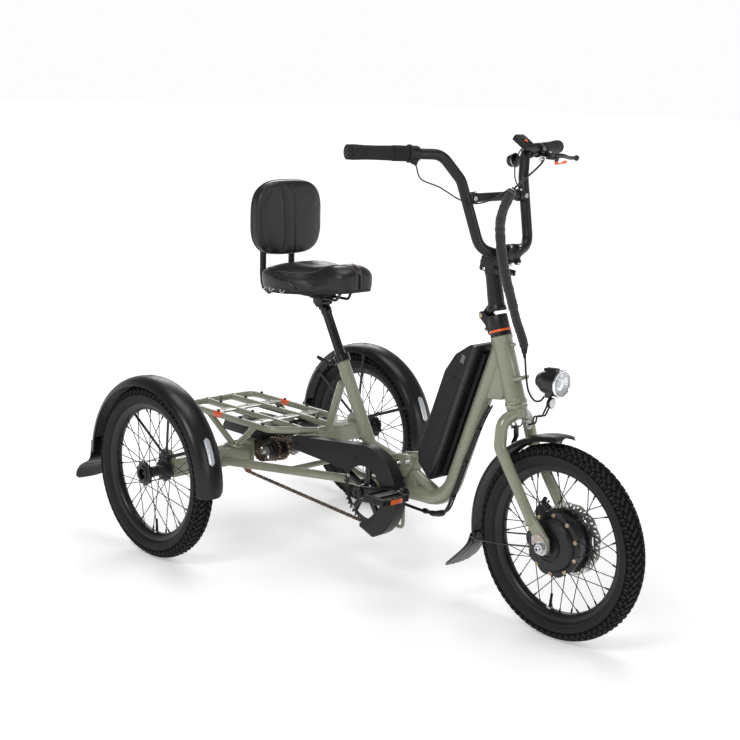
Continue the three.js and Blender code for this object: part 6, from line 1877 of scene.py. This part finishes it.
SPLIT = [(-850, 0, 803), (-820, 0, 811), (-778, 0, 821), (-740, 0, 818), (-722, 0, 808), (-714, 0, 790),
         (-712, 0, 762)]
LOBE = [(-925, -116, 792), (-880, -98, 788), (-835, -72, 790), (-795, -44, 806), (-765, -20, 818),
        (-735, -9, 814), (-719, -7, 800), (-714, -7, 755)]
HOLLOW = [(-940, 0, 800), (-900, 0, 799), (-850, 0, 802), (-820, 0, 808)]
SIDE_SEAM = [(-925 + 88 * math.sin(t), -140, 736 + 54 * math.cos(t)) for t in np.linspace(0.1, 1.52, 12)]


def saddle_hold(p):
    """Where the saddle cover is fixed: at its lower edge and in the split at the nose."""
    in_split = abs(p[1]) < 4 and p[0] > -815 and p[2] > 752
    return 1.0 if p[2] < bowed(FLOOR_LINE, p[0]) + 4 or in_split else 0.0


stations = np.concatenate([np.linspace(-1008, -996, 5), np.linspace(-988, -734, 28),
                           np.linspace(-727, -714, 5)])
core = loft([saddle_ring(x) for x in stations])
saddle_points, saddle_mesh = swelled("saddle_core", core, 6, saddle_hold)
saddle_surface = (saddle_points, [list(face.vertices) for face in saddle_mesh.polygons])
side_seams = [laid_on(saddle_surface, smooth_path([mirror(p, side) for p in SIDE_SEAM], 80))
              for side in (1, -1)]
saddle_body = pressed(saddle_points, saddle_mesh, [
    (smooth_path(SPLIT, 110), 6, 13), (smooth_path(HOLLOW, 60), 26, 5), (side_seams[0], 4.0, 3.6),
    (side_seams[1], 4.0, 3.6)])
saddle_skin = piece("saddle_cover", "seat", VINYL, saddle_body, replaces=["saddle"])
saddle_lines = [tube(laid_on(saddle_body, line, 0.5), 1.1, 10) for line in side_seams]
piece("saddle_piping", "seat", VINYL, saddle_lines)
lobe_lines = [tube(laid_on(saddle_body, smooth_path([mirror(p, side) for p in LOBE], 90), 0.7), 1.5, 10)
              for side in (1, -1)]
piece("saddle_edge_stitch", "seat", THREAD, lobe_lines, slot="saddle_vinyl")
skirt = [[(x, s * bowed(PLAN, x) * 0.9, bowed(FLOOR_LINE, x) + lift)
          for s, xs in ((-1, stations), (1, stations[::-1])) for x in xs]
         for lift in (-2, 6)]
piece("saddle_base", "seat", PLASTIC, loft(skirt))
clips = []
for x in (-969, -928, -888):
    y = 2 - bowed(PLAN, x)
    clips.append(tube(smooth_path([(x - 10, y + 2, 745), (x - 4, y - 2.5, 738), (x + 4, y - 2.5, 737),
                                   (x + 10, y + 1, 744)], 20), 1.2, 10))
piece("saddle_clips", "seat", STEEL, clips)

BACK_Z = 923


def egg(inset, x):
    """The backrest's outline, drawn in by a factor."""
    ring = []
    for a in np.linspace(0, 2 * math.pi, 96, endpoint=False):
        c, s = math.cos(a), math.sin(a)
        wide = 117 * (1 - 0.075 * max(0, s) ** 1.5 - 0.03 * max(0, -s) ** 2)
        ring.append((x + 3 * (s * inset) ** 2, math.copysign(abs(c) ** 0.56, c) * wide * inset,
                     BACK_Z - 1 + math.copysign(abs(s) ** 0.56, s) * 103 * inset))
    return ring


layers = [(0.90, -1045), (0.96, -1042), (0.99, -1035), (1.0, -1024), (1.0, -1011), (0.985, -1004),
          (0.95, -999.5), (0.88, -996.5), (0.7, -995), (0.35, -994)]
CHANNEL = [(-980, -36, 1014), (-980, -28, 985), (-980, -23, 940), (-980, -22, 900), (-980, -23, 850),
           (-980, -32, 826)]
FINE_SEAM = [(-980, 1, 1016), (-980, 7, 960), (-980, 9, 900), (-980, 8, 820)]
BOLSTER = [(-980, -82, 1000), (-980, -96, 972), (-980, -101, 920), (-980, -99, 872), (-980, -84, 838)]


def back_hold(p):
    """Where the backrest cover is fixed: at its back and along two seams."""
    if p[0] < -1040:
        return 1.0
    centre = np.interp(p[2], [826, 850, 900, 940, 1014], [-32, -23, -22, -23, -36])
    side = np.interp(p[2], [838, 872, 920, 972, 1000], [84, 99, 101, 96, 82])
    on_line = abs(p[1] - centre) < 3.4 and 822 < p[2] < 1012 or abs(p[1] + side) < 3 and 840 < p[2] < 1000
    return 1.0 if on_line and p[0] > -1006 else 0.0


back_points, back_mesh = swelled("backrest_core", loft([egg(k, x) for k, x in layers]), 6, back_hold,
                                 pressure=3.0)
back_surface = (back_points, [list(f.vertices) for f in back_mesh.polygons])
back_body = pressed(back_points, back_mesh, [
    (cast_line(back_surface, CHANNEL, (-1, 0, 0), 90), 5.5, 7.5),
    (cast_line(back_surface, FINE_SEAM, (-1, 0, 0), 90), 3.0, 2.0),
    (cast_line(back_surface, BOLSTER, (-1, 0, 0), 90), 10, 8.0)])
back_skin = piece("backrest_cover", "seat", VINYL, back_body, replaces=["backrest_pad"])
back_threads = [tube(cast_line(back_body, [(x, y + shift, z) for x, y, z in FINE_SEAM], (-1, 0, 0),
                               90) + vec(0.1, 0, 0), 0.55, 8) for shift in (-2.6, 2.6)]
back_rim = egg(1.03, -1030)
back_threads.append(tube(laid_on(back_body, back_rim + back_rim[:1], 0.5), 1.3, 10))
piece("backrest_stitch", "seat", VINYL, back_threads)
piece("backrest_plate", "seat", PLASTIC, loft([egg(0.86, -1048), egg(0.87, -1045)]))
